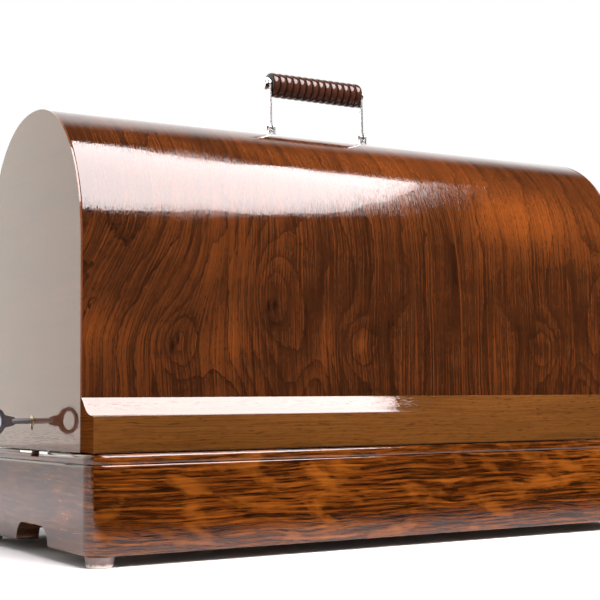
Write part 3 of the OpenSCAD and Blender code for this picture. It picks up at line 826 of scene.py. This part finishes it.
@dataclass(frozen=True)
class PlainWood(Finish):
    """Straight-grained wood, from bare boards to polished mouldings."""

    dark: Colour
    light: Colour
    pore: Colour
    along: Axis = Axis.X
    across: Axis = Axis.Z
    figure: float = 0.5
    pore_strength: float = 0.5
    roughness: float = 0.4
    coat: float = 1.0
    gloss: float = 0.0
    waviness: float = 0.0004
    slope: float = 0.0
    slope_from: float = 0.0
    outward: float = 0.0

    def build(self) -> Material:
        """Builds the material."""
        material, book, shader, place = self.begin()
        parts = book.split(place)
        along = parts[self.along.value]
        others = [axis for axis in Axis if axis is not self.along]
        across = parts[self.across.value]
        depth = parts[next(a.value for a in others if a is not self.across)]
        slow = book.noise(book.join(along * 3.0, across * 26.0, depth * 26.0), detail=3.0, warp=0.4)
        height = slow * 9.0 + across * 110.0
        rings = GroupBook.place(book, "growth_lines", Height=height, Line_share=0.6,
                                Unevenness=0.7, Where=place)
        grain = GroupBook.place(book, "fine_grain", Across=across, Along=along, Depth=depth,
                                Streaks_per_metre=1000.0, Pores_per_metre=1300.0,
                                Pore_length=0.009, Pore_share=0.4)
        tone = grain["Streaks"] * 0.6 + slow * 0.4
        colour = book.mix(book.span(tone, 0.34, 0.68), self.dark, self.light)
        colour = book.mix(rings["Lines"] * self.figure, colour, self.dark)
        colour = book.mix(grain["Pores"] * self.pore_strength, colour, self.pore)
        coat = GroupBook.place(book, "varnish", Where=place, Grain=grain["Pores"], Grain_depth=0.12)
        book.feed(shader.inputs["Base Color"], colour)
        self.hold(shader, Roughness=self.roughness, Specular_IOR_Level=self.gloss)
        raised = book.math("MAXIMUM", parts[Axis.Z.value] - self.slope_from, 0.0) * self.slope
        sloped = abs(parts[Axis.Y.value]) * -self.outward
        level = coat["Height"] * self.waviness + (raised + sloped)
        self.lacquer(book, shader, self.bump(book, level, 1.0), 0.03, self.coat)
        return material


@dataclass(frozen=True)
class QuarteredOak(Finish):
    """Varnished quarter-sawn oak: dark open pores and pale, slanting rays."""

    along: Axis = Axis.X
    dark: Colour = (0.022, 0.0056, 0.0008)
    middle: Colour = (0.068, 0.0170, 0.0020)
    light: Colour = (0.190, 0.0560, 0.0065)
    pore: Colour = (0.0050, 0.0016, 0.0006)

    def build(self) -> Material:
        """Builds the material."""
        material, book, shader, place = self.begin()
        parts = book.split(place)
        along = parts[self.along.value]
        depth = parts[1 - self.along.value]
        across = parts[Axis.Z.value]
        wave = book.noise(book.join(along * 6.0, across * 18.0, depth * 6.0), detail=2.0)
        across = across + (wave - 0.5) * 0.012
        grain = GroupBook.place(book, "fine_grain", Across=across, Along=along, Depth=depth,
                                Streaks_per_metre=480.0, Pores_per_metre=520.0,
                                Pore_length=0.034, Pore_share=0.50)
        short = GroupBook.place(book, "fine_grain", Across=across, Along=along, Depth=depth,
                                Streaks_per_metre=900.0, Pores_per_metre=950.0,
                                Pore_length=0.012, Pore_share=0.46)
        slant = along + across * 0.7
        rays = book.noise(book.join(slant * 30.0, across * 62.0, depth * 9.0), detail=3.0,
                          rough=0.5, warp=0.3)
        flecks = book.span(rays, 0.52, 0.66)
        cloud = book.noise(book.join(along * 9.0, across * 22.0, depth), detail=3.0)
        tone = grain["Streaks"] * 0.75 + cloud * 0.25
        low = book.mix(book.span(tone, 0.38, 0.52), self.dark, self.middle)
        colour = book.mix(book.span(tone, 0.49, 0.68), low, self.light)
        colour = book.mix(flecks * 0.5, colour, self.light)
        spare = 1.0 - flecks * 0.55
        dark = book.math("MAXIMUM", grain["Pores"], short["Pores"] * 0.7) * spare
        colour = book.mix(dark * 0.9, colour, self.pore)
        coat = GroupBook.place(book, "varnish", Where=place, Grain=dark, Grain_depth=0.22)
        book.feed(shader.inputs["Base Color"], colour)
        self.hold(shader, Roughness=0.4, Specular_IOR_Level=0.0)
        self.lacquer(book, shader, self.bump(book, coat["Height"], 0.00009), 0.05)
        return material


@dataclass(frozen=True)
class Metal(Finish):
    """Plated or worn metal with fine scratches and stains."""

    colour: Colour
    stain: Colour
    roughness: float = 0.2
    stain_share: float = 0.2

    def build(self) -> Material:
        """Builds the material."""
        material, book, shader, place = self.begin()
        blot = book.noise(place, scale=170.0, detail=4.0, rough=0.6)
        spots = book.noise(place, scale=900.0, detail=2.0)
        edge = 0.62 - 0.2 * self.stain_share
        stained = book.span(blot, edge, edge + 0.14) * 0.8
        stained = book.math("MAXIMUM", stained, book.math(
            "MULTIPLY", book.span(spots, 0.70, 0.74), 4.0 * self.stain_share, clamp=True))
        x, y, z = book.split(place)
        scratch = book.noise(book.join(x * 300.0, y * 2400.0, z * 900.0), detail=3.0)
        book.feed(shader.inputs["Base Color"], book.mix(stained, self.colour, self.stain))
        self.hold(shader, Metallic=1.0)
        rough = self.roughness + stained * 0.3
        book.feed(shader.inputs["Roughness"], rough + (scratch - 0.5) * 0.12)
        height = scratch * 0.4 + blot * 0.6
        book.feed(shader.inputs["Normal"], self.bump(book, height, 0.00012))
        return material


@dataclass(frozen=True)
class Rubber(Finish):
    """Aged rubber with a paler lower rim."""

    colour: Colour = (0.128, 0.094, 0.084)
    rim: Colour = (0.50, 0.45, 0.40)
    rim_height: float = 0.0024

    def build(self) -> Material:
        """Builds the material."""
        material, book, shader, place = self.begin()
        _, _, z = book.split(place)
        mottled = book.noise(place, scale=420.0, detail=4.0)
        wander = z + (mottled - 0.5) * 0.003
        pale = book.span(wander, self.rim_height * 0.6, self.rim_height * 1.3, 0.85, 0.0)
        colour = book.mix(book.span(mottled, 0.35, 0.7), self.colour,
                          tuple(c * 0.72 for c in self.colour))
        book.feed(shader.inputs["Base Color"], book.mix(pale, colour, self.rim))
        self.hold(shader, Roughness=0.62)
        book.feed(shader.inputs["Normal"], self.bump(book, mottled, 0.0003))
        return material


@dataclass(frozen=True)
class TurnedGrip(Finish):
    """Dark stained and polished wood, lighter on the crowns of its ribs, with painted shade in the
    grooves.
    """

    # The grooves' near-black colour is painted shade in the recesses between the ribs.
    groove: Colour = (0.0050, 0.0020, 0.0015)
    crown: Colour = (0.042, 0.0155, 0.0090)
    axis: Flat = (0.00336, 0.38385)
    crown_radius: float = 0.0105
    groove_radius: float = 0.0087

    def build(self) -> Material:
        """Builds the material."""
        material, book, shader, place = self.begin()
        x, y, z = book.split(place)
        back, up = y - self.axis[0], z - self.axis[1]
        radius = book.math("SQRT", back * back + up * up)
        crown = book.span(radius, self.groove_radius, self.crown_radius, smooth=True)
        grain = GroupBook.place(book, "fine_grain", Across=y, Along=x, Depth=z,
                                Streaks_per_metre=700.0, Pores_per_metre=1600.0,
                                Pore_length=0.006, Pore_share=0.4)
        # Painted shade: the colour goes from the crowns' stained colour to near black down in the
        # grooves.
        colour = book.mix(crown, self.groove, self.crown)
        colour = book.mix(book.span(grain["Streaks"], 0.35, 0.75, 0.0, 0.5), colour, self.groove)
        coat = GroupBook.place(book, "varnish", Where=place, Grain=grain["Pores"], Grain_depth=0.1)
        book.feed(shader.inputs["Base Color"], colour)
        self.hold(shader, Roughness=0.4, Specular_IOR_Level=0.0,
                  Coat_Weight=0.7, Coat_Roughness=0.12)
        book.feed(shader.inputs["Normal"], self.bump(book, coat["Height"], 0.0004))
        return material


@dataclass(frozen=True)
class Felt(Finish):
    """Green felt, matted and a little faded."""

    colour: Colour = (0.030, 0.075, 0.034)
    faded: Colour = (0.085, 0.130, 0.070)

    def build(self) -> Material:
        """Builds the material."""
        material, book, shader, place = self.begin()
        fibres = book.noise(place, scale=2600.0, detail=3.0, warp=1.5)
        patches = book.noise(place, scale=120.0, detail=3.0)
        worn = book.span(fibres * 0.6 + patches * 0.5, 0.4, 0.8)
        book.feed(shader.inputs["Base Color"], book.mix(worn, self.colour, self.faded))
        self.hold(shader, Roughness=0.95, Sheen_Weight=0.4)
        book.feed(shader.inputs["Normal"], self.bump(book, fibres, 0.0006))
        return material


def once(finish: Any) -> Any:
    """A dataclass field that holds a finish's material, built with the dataclass."""
    return field(default_factory=finish.build)


@dataclass
class Finishes:
    """Every material of the case, built once."""

    veneer: Material = once(FiguredVeneer("figured_veneer"))
    oak_long: Material = once(QuarteredOak("quartered_oak_long", Axis.X))
    oak_end: Material = once(QuarteredOak("quartered_oak_end", Axis.Y))
    moulding: Material = once(PlainWood(
        "polished_moulding", dark=(0.040, 0.0150, 0.0030), light=(0.104, 0.0400, 0.0088),
        pore=(0.014, 0.005, 0.002), figure=0.5, pore_strength=0.65, waviness=0.00015,
        slope=-0.80, outward=1.0, slope_from=0.1029))
    end_panel: Material = once(PlainWood(
        "polished_end_panel", dark=(0.055, 0.016, 0.006), light=(0.115, 0.036, 0.012),
        pore=(0.025, 0.009, 0.005), along=Axis.Y, figure=0.4, pore_strength=0.3,
        waviness=0.00008))
    inner_wood: Material = once(PlainWood(
        "bare_planed_wood", dark=(0.26, 0.135, 0.060), light=(0.48, 0.285, 0.145),
        pore=(0.13, 0.065, 0.03), across=Axis.Y, roughness=0.6, coat=0.0, gloss=0.3))
    moulding_end: Material = once(PlainWood(
        "dull_end_grain", dark=(0.035, 0.0100, 0.0020), light=(0.120, 0.0360, 0.0070),
        pore=(0.012, 0.004, 0.002), along=Axis.Y, roughness=0.7, coat=0.0))
    nickel: Material = once(Metal(
        "nickel_plate", colour=(0.86, 0.85, 0.83), stain=(0.30, 0.24, 0.17), roughness=0.14,
        stain_share=0.12))
    satin_nickel: Material = once(Metal(
        "satin_nickel", colour=(0.80, 0.80, 0.81), stain=(0.34, 0.31, 0.27), roughness=0.27,
        stain_share=0.06))
    steel: Material = once(Metal(
        "worn_steel", colour=(0.33, 0.36, 0.41), stain=(0.12, 0.075, 0.05), roughness=0.33,
        stain_share=0.3))
    brass: Material = once(Metal(
        "aged_brass", colour=(0.52, 0.37, 0.15), stain=(0.16, 0.09, 0.04), roughness=0.28,
        stain_share=0.5))
    rubber: Material = once(Rubber("aged_rubber"))
    felt: Material = once(Felt("green_felt"))
    grip: Material = once(TurnedGrip("turned_grip"))


# ---------------------------------------------------------------- sub-assemblies


@dataclass
class SubAssembly:
    """A part of the case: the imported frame, the finishes and how its solids are dressed."""

    frame: Frame
    finishes: Finishes

    def dress(self, material: Material, *nodes: str) -> None:
        """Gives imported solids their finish.

        Args:
            material: The finish.
            nodes: The solids' names.
        """
        for node in nodes:
            slots = self.frame["nodes"][node].data.materials
            slots.clear()
            slots.append(material)


@dataclass
class Cover(SubAssembly):
    """The bentwood cover: its bent sheet, end panels and mouldings."""

    sheet: float = 4.0 * MM
    spring: float = 142.0 * MM
    roundness: float = 2.18
    edge: float = 0.7 * MM
    side_share: float = 0.27
    arch_steps: int = 240
    flat_height: float = 25.3 * MM
    nose: float = 1.1 * MM
    ogee_bends: tuple[Flat, Flat] = ((8.0 * MM, -2.8 * MM), (7.8 * MM, 0.4 * MM))
    ogee_steps: int = 28

    def bent_sheet(self) -> Object:
        """The bent sheet, one closed solid that follows the rule of the arch.

        Returns:
            The piece, with its distance round the arch kept in the attribute along.
        """
        low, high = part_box("cover_shell")
        tree = TreeBook("bent_sheet")
        half = tree.size("Half width", high.y - self.sheet / 2)
        spring = tree.size("Spring height", self.spring)
        rise = tree.size("Rise", high.z - low.z - self.spring - self.sheet / 2)
        power = tree.size("Power", 2.0 / self.roundness)
        count = tree.size("Points", self.arch_steps, "Int")
        side = tree.size("Side share", self.side_share)
        share = tree.index_share(count)
        turn = tree.span(share, side, 1.0 - side, 0.0, math.pi)
        cosine = tree.math("COSINE", turn)
        sine = tree.math("MAXIMUM", tree.math("SINE", turn), 0.0)
        reach = abs(cosine) ** power
        out = tree.math("SIGN", cosine) * reach * half
        up_left = share / side
        up_right = (1.0 - share) / side
        up = tree.math("MINIMUM", tree.math("MINIMUM", up_left, up_right), 1.0)
        level = up * spring + sine ** power * rise
        position = tree.join((low.x + high.x) / 2, out * -1.0, level + low.z)
        path = tree.add("GeometryNodeMeshToCurve")
        tree.feed(path.inputs["Mesh"], tree.placed(tree.line(count), position))
        kept = tree.add("GeometryNodeStoreNamedAttribute", data_type="FLOAT", domain="POINT")
        tree.feed(kept.inputs["Geometry"], path.outputs[0])
        kept.inputs["Name"].default_value = "along"
        tree.feed(kept.inputs["Value"], tree.add("GeometryNodeSplineParameter").outputs["Length"])
        turned = tree.add("GeometryNodeSetCurveNormal", mode="FREE")
        tree.feed(turned.inputs["Curve"], kept.outputs[0])
        turned.inputs["Normal"].default_value = (1.0, 0.0, 0.0)
        strip = tree.add("GeometryNodeCurvePrimitiveQuadrilateral")
        tree.feed(strip.inputs["Width"], tree.size("Length", high.x - low.x))
        tree.feed(strip.inputs["Height"], tree.size("Thickness", self.sheet))
        rounded = tree.add("GeometryNodeFilletCurve", mode="POLY")
        tree.feed(rounded.inputs["Curve"], strip.outputs[0])
        rounded.inputs["Count"].default_value = 3
        tree.feed(rounded.inputs["Radius"], tree.size("Edge", self.edge))
        swept = tree.add("GeometryNodeCurveToMesh")
        tree.feed(swept.inputs["Curve"], turned.outputs[0])
        tree.feed(swept.inputs["Profile Curve"], rounded.outputs[0])
        swept.inputs["Fill Caps"].default_value = True
        return tree.build("bent_sheet", swept.outputs[0], self.finishes.veneer)

    def moulding_outline(self, side: int) -> list[Flat]:
        """Section of a moulding: a flat face, a rounded nose and an ogee above it.

        Args:
            side: -1 for the front and 1 for the back.

        Returns:
            Points in Y and Z.
        """
        low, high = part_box("cover_front_moulding")
        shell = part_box("cover_shell")[1].y
        out, tall = high.y - low.y, high.z - low.z
        flat, nose = self.flat_height, self.nose
        (upper_y, upper_z), (lower_y, lower_z) = self.ogee_bends
        curve = [(0.8 * MM, tall), (upper_y, tall + upper_z), (lower_y, flat + lower_z),
                 (out - nose, flat)]
        points = [(0.0, 0.0)]
        points += [(out - nose + nose * math.sin(a), nose - nose * math.cos(a))
                   for a in (math.radians(18 * i) for i in range(6))]
        points += [(out - nose + nose * math.cos(a), flat - nose + nose * math.sin(a))
                   for a in (math.radians(18 * i) for i in range(5))]
        for i in range(self.ogee_steps, -1, -1):
            t = i / self.ogee_steps
            s = 1.0 - t
            weights = (s * s * s, 3 * s * s * t, 3 * s * t * t, t * t * t)
            points.append(tuple(sum(w * p[k] for w, p in zip(weights, curve)) for k in (0, 1)))
        points.append((0.0, tall))
        return [(side * (shell + y), low.z + z) for y, z in points]

    def build(self) -> None:
        """Builds the cover's pieces and dresses its solids."""
        settle(self.bent_sheet(), "cover", "walnut_veneer", self.finishes.veneer, "cover_shell")
        for name, side in (("front", -1), ("back", 1)):
            low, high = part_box(f"cover_{name}_moulding")
            piece = prism(f"{name}_moulding", self.moulding_outline(side), low.x, high.x, self.edge)
            settle(piece, "cover", "walnut", self.finishes.moulding, f"cover_{name}_moulding")
            piece.data.materials.append(self.finishes.moulding_end)
            for face in piece.data.polygons:
                face.material_index = int(abs(face.normal.x) > 0.9)
        for name in ("cover_left_end", "cover_right_end"):
            panel = softened(name, self.frame, self.edge)
            settle(panel, "cover", "walnut_veneer", self.finishes.end_panel, name)
        self.dress(self.finishes.inner_wood, "cover_glue_blocks", "cover_handle_batten")
        self.dress(self.finishes.nickel, "cover_tongues")
        self.dress(self.finishes.steel, "tongue_screws")
        LOG.info("cover: bent sheet, two mouldings, two softened end panels")


@dataclass
class Handle(SubAssembly):
    """The folding handle: brackets, arms and the ribbed grip."""

    ribs: int = 14
    steps_per_rib: int = 12
    groove: float = 1.9 * MM
    crown_flatness: float = 0.32
    arm_edge: float = 0.45 * MM
    bracket_edge: float = 0.3 * MM

    def grip(self) -> Object:
        """The turned grip: a row of rounded ribs with narrow grooves between them.

        Returns:
            The new piece.
        """
        low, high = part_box("handle_grip")
        tree = TreeBook("ribbed_grip")
        length = tree.size("Length", high.x - low.x)
        radius = tree.size("Crown radius", (high.z - low.z) / 2)
        groove = tree.size("Groove depth", self.groove)
        ribs = tree.size("Ribs", self.ribs, "Int")
        count = tree.size("Points", self.ribs * self.steps_per_rib + 1, "Int")
        share = tree.index_share(count)
        wave = abs(tree.math("SINE", share * ribs * math.pi))
        swell = wave ** self.crown_flatness * groove
        size = radius - groove + swell
        x = (share - 0.5) * length
        centre = (low + high) / 2
        position = tree.join(x + centre.x, centre.y, centre.z)
        bar = tree.lathe(tree.placed(tree.line(count), position), size, 56)
        return tree.build("ribbed_grip", bar, self.finishes.grip, 50.0)

    def build(self) -> None:
        """Builds the handle's pieces and dresses its solids."""
        settle(self.grip(), "handle", "grip", self.finishes.grip, "handle_grip")
        arms = softened("handle_arms", self.frame, self.arm_edge)
        settle(arms, "handle", "nickel", self.finishes.satin_nickel, "handle_arms")
        brackets = softened("handle_brackets", self.frame, self.bracket_edge)
        settle(brackets, "cover", "nickel", self.finishes.satin_nickel, "handle_brackets")
        self.dress(self.finishes.nickel, "handle_bracket_screws", "handle_pivot_pins",
              "handle_rod_screws")
        self.dress(self.finishes.steel, "handle_rod")
        LOG.info("handle: grip with %d ribs, arms and brackets", self.ribs)


@dataclass
class LockSet(SubAssembly):
    """The lock in the left end panel, with its key."""

    edge: float = 0.35 * MM

    def build(self) -> None:
        """Builds the key and dresses the lock's solids."""
        key = softened("key", self.frame, self.edge, "door_key")
        settle(key, "key", "steel", self.finishes.steel, "key")
        self.dress(self.finishes.steel, "lock_case", "lock_cap", "lock_screws")
        self.dress(self.finishes.brass, "keyhole_liner")
        self.dress(self.finishes.nickel, "lock_bolt", "strike_plate", "keeper_plates")
        self.dress(self.finishes.steel, "strike_screws", "keeper_screws")
        LOG.info("lock: key, case, bolt and plates")


@dataclass
class Base(SubAssembly):
    """The oak base with its feet and what it carries inside."""

    foot_edge: float = 1.4 * MM
    foot_taper: float = 1.5 * MM
    foot_screw_head: float = 3.8 * MM
    groove_edge: float = 1.1 * MM
    groove_height: float = 69.0 * MM
    foot_points: int = 14

    def feet(self) -> Object:
        """Four rubber feet with rounded lower rims, one at each corner.

        Returns:
            The feet as one piece.
        """
        low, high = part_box("rubber_feet")
        screw_low, screw_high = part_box("foot_screws")
        span_x = screw_high.x - screw_low.x
        span_y = screw_high.y - screw_low.y
        head = self.foot_screw_head
        tree = TreeBook("rubber_feet")
        top = tree.size("Upper radius", (high.x - low.x - span_x) / 2 + head)
        taper = tree.size("Taper", self.foot_taper)
        edge = tree.size("Edge", self.foot_edge)
        tall = tree.size("Height", high.z - low.z)
        count = tree.size("Points", self.foot_points, "Int")
        share = tree.index_share(count) ** 2.0
        level = share * tall
        cone = top - taper * (1.0 - share)
        inside = tree.math("MAXIMUM", 1.0 - level / edge, 0.0)
        arc = tree.math("SQRT", 1.0 - inside * inside)
        cut = edge * (1.0 - arc)
        row = tree.placed(tree.line(count), tree.join(0.0, 0.0, level))
        foot = tree.lathe(row, cone - cut, 48)
        grid = tree.add("GeometryNodeMeshGrid")
        tree.feed(grid.inputs["Size X"], tree.size("Span along", span_x - 2 * head))
        tree.feed(grid.inputs["Size Y"], tree.size("Span across", span_y - 2 * head))
        grid.inputs["Vertices X"].default_value = 2
        grid.inputs["Vertices Y"].default_value = 2
        spread = tree.add("GeometryNodeInstanceOnPoints")
        tree.feed(spread.inputs["Points"], grid.outputs[0])
        tree.feed(spread.inputs["Instance"], foot)
        moved = tree.add("GeometryNodeTransform")
        tree.feed(moved.inputs["Geometry"], spread.outputs[0])
        moved.inputs["Translation"].default_value = ((low.x + high.x) / 2, 0.0, low.z)
        return tree.build("rubber_feet_rounded", moved.outputs[0], self.finishes.rubber)

    def build(self) -> None:
        """Builds the feet and dresses the base's solids."""
        settle(self.feet(), "base", "rubber", self.finishes.rubber, "rubber_feet")
        for side, oak in (("front", self.finishes.oak_long), ("back", self.finishes.oak_long),
                          ("left", self.finishes.oak_end), ("right", self.finishes.oak_end)):
            node = f"base_{side}_board"
            board = softened(node, self.frame, self.groove_edge, only_at=self.groove_height)
            settle(board, "base", "oak", oak, node)
        self.dress(self.finishes.inner_wood, "base_floor", "base_corner_blocks",
              "bed_rest_blocks", "compartment_walls", "compartment_cheeks", "compartment_lid")
        self.dress(self.finishes.felt, "felt_pads")
        self.dress(self.finishes.brass, "compartment_pivots")
        self.dress(self.finishes.steel, "foot_screws", "bed_hinge_brackets", "bed_hinge_screws")
        self.dress(self.finishes.nickel, "bed_hinge_axles", "bed_hinge_pin_left",
              "bed_hinge_pin_right")
        LOG.info("base: boards, feet and inside pieces")


# ---------------------------------------------------------------- studio


@dataclass(frozen=True)
class Dimming:
    """Where a glowing card dims: towards one direction, and on one side of it only."""

    toward: Vector
    start: float
    end: float
    depth: float = 1.0
    beside: Optional[Vector] = None
    side_start: float = 0.0
    side_end: float = 1.0


@dataclass
class Studio:
    """A pale floor, a white surround, a large soft light and the camera."""

    camera_at: Point = (-0.57915, -0.9704, 0.1088)
    right: Point = (0.8594, -0.5111, -0.0102)
    up: Point = (-0.0318, -0.0734, 0.9968)
    forward: Point = (0.5102, 0.8564, 0.0794)
    lens: float = 79.3
    sensor: float = 36.0
    clip: Flat = (0.05, 60.0)
    ambient: float = 0.42
    glow_tilt: float = 0.35
    glow_heights: Flat = (0.15, 0.45)
    glow_sides: Flat = (0.38, 0.70)
    glow_left: float = 1.9
    floor_half: float = 9.0
    floor_colour: Colour = (0.86, 0.86, 0.87)
    floor_mirrored: Flat = (-0.31, -0.20)
    soft_strength: float = 19.0
    soft_tint: Colour = (1.0, 0.90, 0.90)
    soft_turn: float = math.radians(45.0)
    soft_rise: float = math.radians(50.0)
    soft_away: float = 1.5
    soft_focus: Point = (0.01675, -0.09, 0.28)
    # The soft light's corners, across and up from its centre.
    soft_outline: tuple[Flat, ...] = (
        (-0.013, 1.05), (0.047, 0.652), (0.058, 0.617), (0.098, 0.489), (0.244, 0.467),
        (0.332, 0.33), (0.421, 0.248), (0.471, 0.185), (0.522, 0.123), (0.359, -0.039),
        (0.206, -0.145), (0.079, -0.24), (-0.029, -0.3), (-0.123, -0.385), (-0.249, -0.452),
        (-0.447, -0.488), (-0.592, -0.504), (-0.688, -0.421), (-0.714, -0.401), (-0.9, -0.46),
        (-1.3, -0.4), (-1.3, 1.05),
    )
    screen_strength: float = 1.9
    screen_tint: Colour = (1.0, 0.98, 0.90)
    screen_at: Point = (-1.35, 2.75, 0.55)
    screen_lights: Point = (-0.24, 0.0, 0.18)
    screen_half: Flat = (1.6, 1.0)

    def camera(self) -> None:
        """Sets the camera at the photograph's place."""
        data = bpy.data.cameras.new("camera")
        data.lens = self.lens
        data.sensor_width = self.sensor
        data.clip_start, data.clip_end = self.clip
        made = in_scene("camera", data)
        back = -Vector(self.forward)
        turn = Matrix((self.right, self.up, back)).transposed()
        made.matrix_world = Matrix.Translation(self.camera_at) @ turn.to_4x4()
        bpy.context.scene.camera = made

    def surround(self) -> None:
        """A white surround for the camera, dark overhead and in front for reflections."""
        world = bpy.data.worlds.new("surround")
        bpy.context.scene.world = world
        world.use_nodes = True
        world.node_tree.nodes.clear()
        book = NodeBook(world.node_tree)
        ray = book.add("ShaderNodeLightPath")
        x, y, _ = book.split(book.out(book.add("ShaderNodeTexCoord"), "Generated"))
        behind = book.span(y - x * self.glow_tilt, *self.glow_heights, 0.02, 1.0, smooth=True)
        behind = behind * book.span(x, *self.glow_sides, self.glow_left, 1.0)
        glossy = book.out(ray, "Is Glossy Ray")
        clear = book.math("MAXIMUM", book.out(ray, "Is Camera Ray"),
                          book.out(ray, "Is Transmission Ray"))
        diffuse = (1.0 - book.math("MAXIMUM", glossy, clear)) * self.ambient
        light = book.add("ShaderNodeBackground")
        book.feed(light.inputs["Color"], (1.0, 1.0, 1.0))
        book.feed(light.inputs["Strength"], glossy * behind + clear + diffuse)
        out = book.add("ShaderNodeOutputWorld")
        book.tree.links.new(light.outputs[0], out.inputs["Surface"])

    def floor(self) -> None:
        """A pale floor that keeps the case's shadow."""
        build = bmesh.new()
        bmesh.ops.create_grid(build, x_segments=1, y_segments=1, size=self.floor_half)
        floor = object_from("floor", build)
        material = bpy.data.materials.new("pale_floor")
        material.use_nodes = True
        book = NodeBook(material.node_tree)
        shader = material.node_tree.nodes["Principled BSDF"]
        ray = book.add("ShaderNodeLightPath")
        _, y, _ = book.split(book.out(book.add("ShaderNodeTexCoord"), "Object"))
        near = book.span(y, *self.floor_mirrored, 0.0, 0.9, smooth=True)
        glossy = book.out(ray, "Is Glossy Ray")
        share = 1.0 - glossy + glossy * near
        book.feed(shader.inputs["Base Color"], book.mix(share, (0.0, 0.0, 0.0), self.floor_colour))
        Finish.hold(shader, Roughness=0.9, Specular_IOR_Level=0.0)
        floor.data.materials.append(material)

    def glowing(self, name: str, strength: float, tint: Colour, outline: Sequence[Flat],
                centre: Vector, facing: Vector, level: Vector,
                dimmings: Sequence[Dimming] = ()) -> None:
        """A flat glowing card that only reflections and lit surfaces see.

        Args:
            name: The card's name.
            strength: How bright it is.
            tint: Its colour.
            outline: Its corners, in metres from its centre.
            centre: Where its centre stands.
            facing: The direction from its centre to what it lights.
            level: The direction of its first coordinate.
            dimmings: Where it dims.
        """
        upward = facing.cross(level).normalized()
        if upward.z < 0:
            upward = -upward
        build = bmesh.new()
        build.faces.new([build.verts.new(centre + level * a + upward * b) for a, b in outline])
        mesh = bpy.data.meshes.new(name)
        build.to_mesh(mesh)
        build.free()
        card = in_scene(name, mesh)
        material = bpy.data.materials.new(name)
        material.use_nodes = True
        material.node_tree.nodes.clear()
        book = NodeBook(material.node_tree)
        glow = book.add("ShaderNodeEmission")
        book.feed(glow.inputs["Color"], tint)
        level_now: Value = strength
        for dimming in dimmings:
            share = self.reach(book, dimming.toward, dimming.start, dimming.end)
            if dimming.beside is not None:
                share = share * self.reach(book, dimming.beside, dimming.side_start,
                                           dimming.side_end)
            level_now = level_now * (1.0 - share * dimming.depth)
        book.feed(glow.inputs["Strength"], level_now)
        out = book.add("ShaderNodeOutputMaterial")
        book.tree.links.new(glow.outputs[0], out.inputs["Surface"])
        mesh.materials.append(material)
        card.visible_camera = False
        card.visible_shadow = False

    @staticmethod
    def reach(book: NodeBook, direction: Vector, start: float, end: float) -> Flow:
        """How far a place has come along a direction, from 0 at start to 1 at end."""
        dot = book.add("ShaderNodeVectorMath", operation="DOT_PRODUCT")
        book.feed(dot.inputs[0], book.out(book.add("ShaderNodeTexCoord"), "Object"))
        dot.inputs[1].default_value = direction
        return book.span(dot.outputs["Value"], start, end, smooth=True)

    def lights(self) -> None:
        """The large soft light at the front right, and a lit screen at the back left."""
        turn, rise = self.soft_turn, self.soft_rise
        away = Vector((math.sin(turn) * math.cos(rise), -math.cos(turn) * math.cos(rise),
                       math.sin(rise)))
        level = Vector((math.cos(turn), math.sin(turn), 0.0))
        centre = Vector(self.soft_focus) + away * self.soft_away
        upward = (-away).cross(level).normalized()
        upward = upward if upward.z > 0 else -upward
        corner = (level * 0.62 - upward * 0.78).normalized()
        start, beside, below = centre.dot(corner) + 0.20, centre.dot(level), -centre.dot(upward)
        dimmings = (
            Dimming(corner, start, start + 0.10, 1.0, level, beside - 0.12, beside + 0.06),
            Dimming(-upward, below + 0.20, below + 0.50, 0.22),
        )
        self.glowing("soft_light", self.soft_strength, self.soft_tint, self.soft_outline, centre,
                     -away, level, dimmings)
        screen = Vector(self.screen_at)
        toward = (Vector(self.screen_lights) - screen).normalized()
        across = Vector((-toward.y, toward.x, 0.0)).normalized()
        wide, tall = self.screen_half
        box = ((-wide, -tall), (wide, -tall), (wide, tall), (-wide, tall))
        self.glowing("back_screen", self.screen_strength, self.screen_tint, box, screen, toward,
                     across)

    def build(self) -> None:
        """Builds the whole studio."""
        self.camera()
        self.surround()
        self.floor()
        self.lights()
        LOG.info("studio: camera, surround, floor and lights")


def main() -> None:
    """Builds the case's looks in order."""
    logging.basicConfig(level=logging.INFO, format="%(message)s")
    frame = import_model()
    bpy.context.scene.view_settings.view_transform = "Standard"
    make_effects()
    finishes = Finishes()
    Studio().build()
    Cover(frame, finishes).build()
    Handle(frame, finishes).build()
    LockSet(frame, finishes).build()
    Base(frame, finishes).build()


if __name__ == "__main__":
    main()
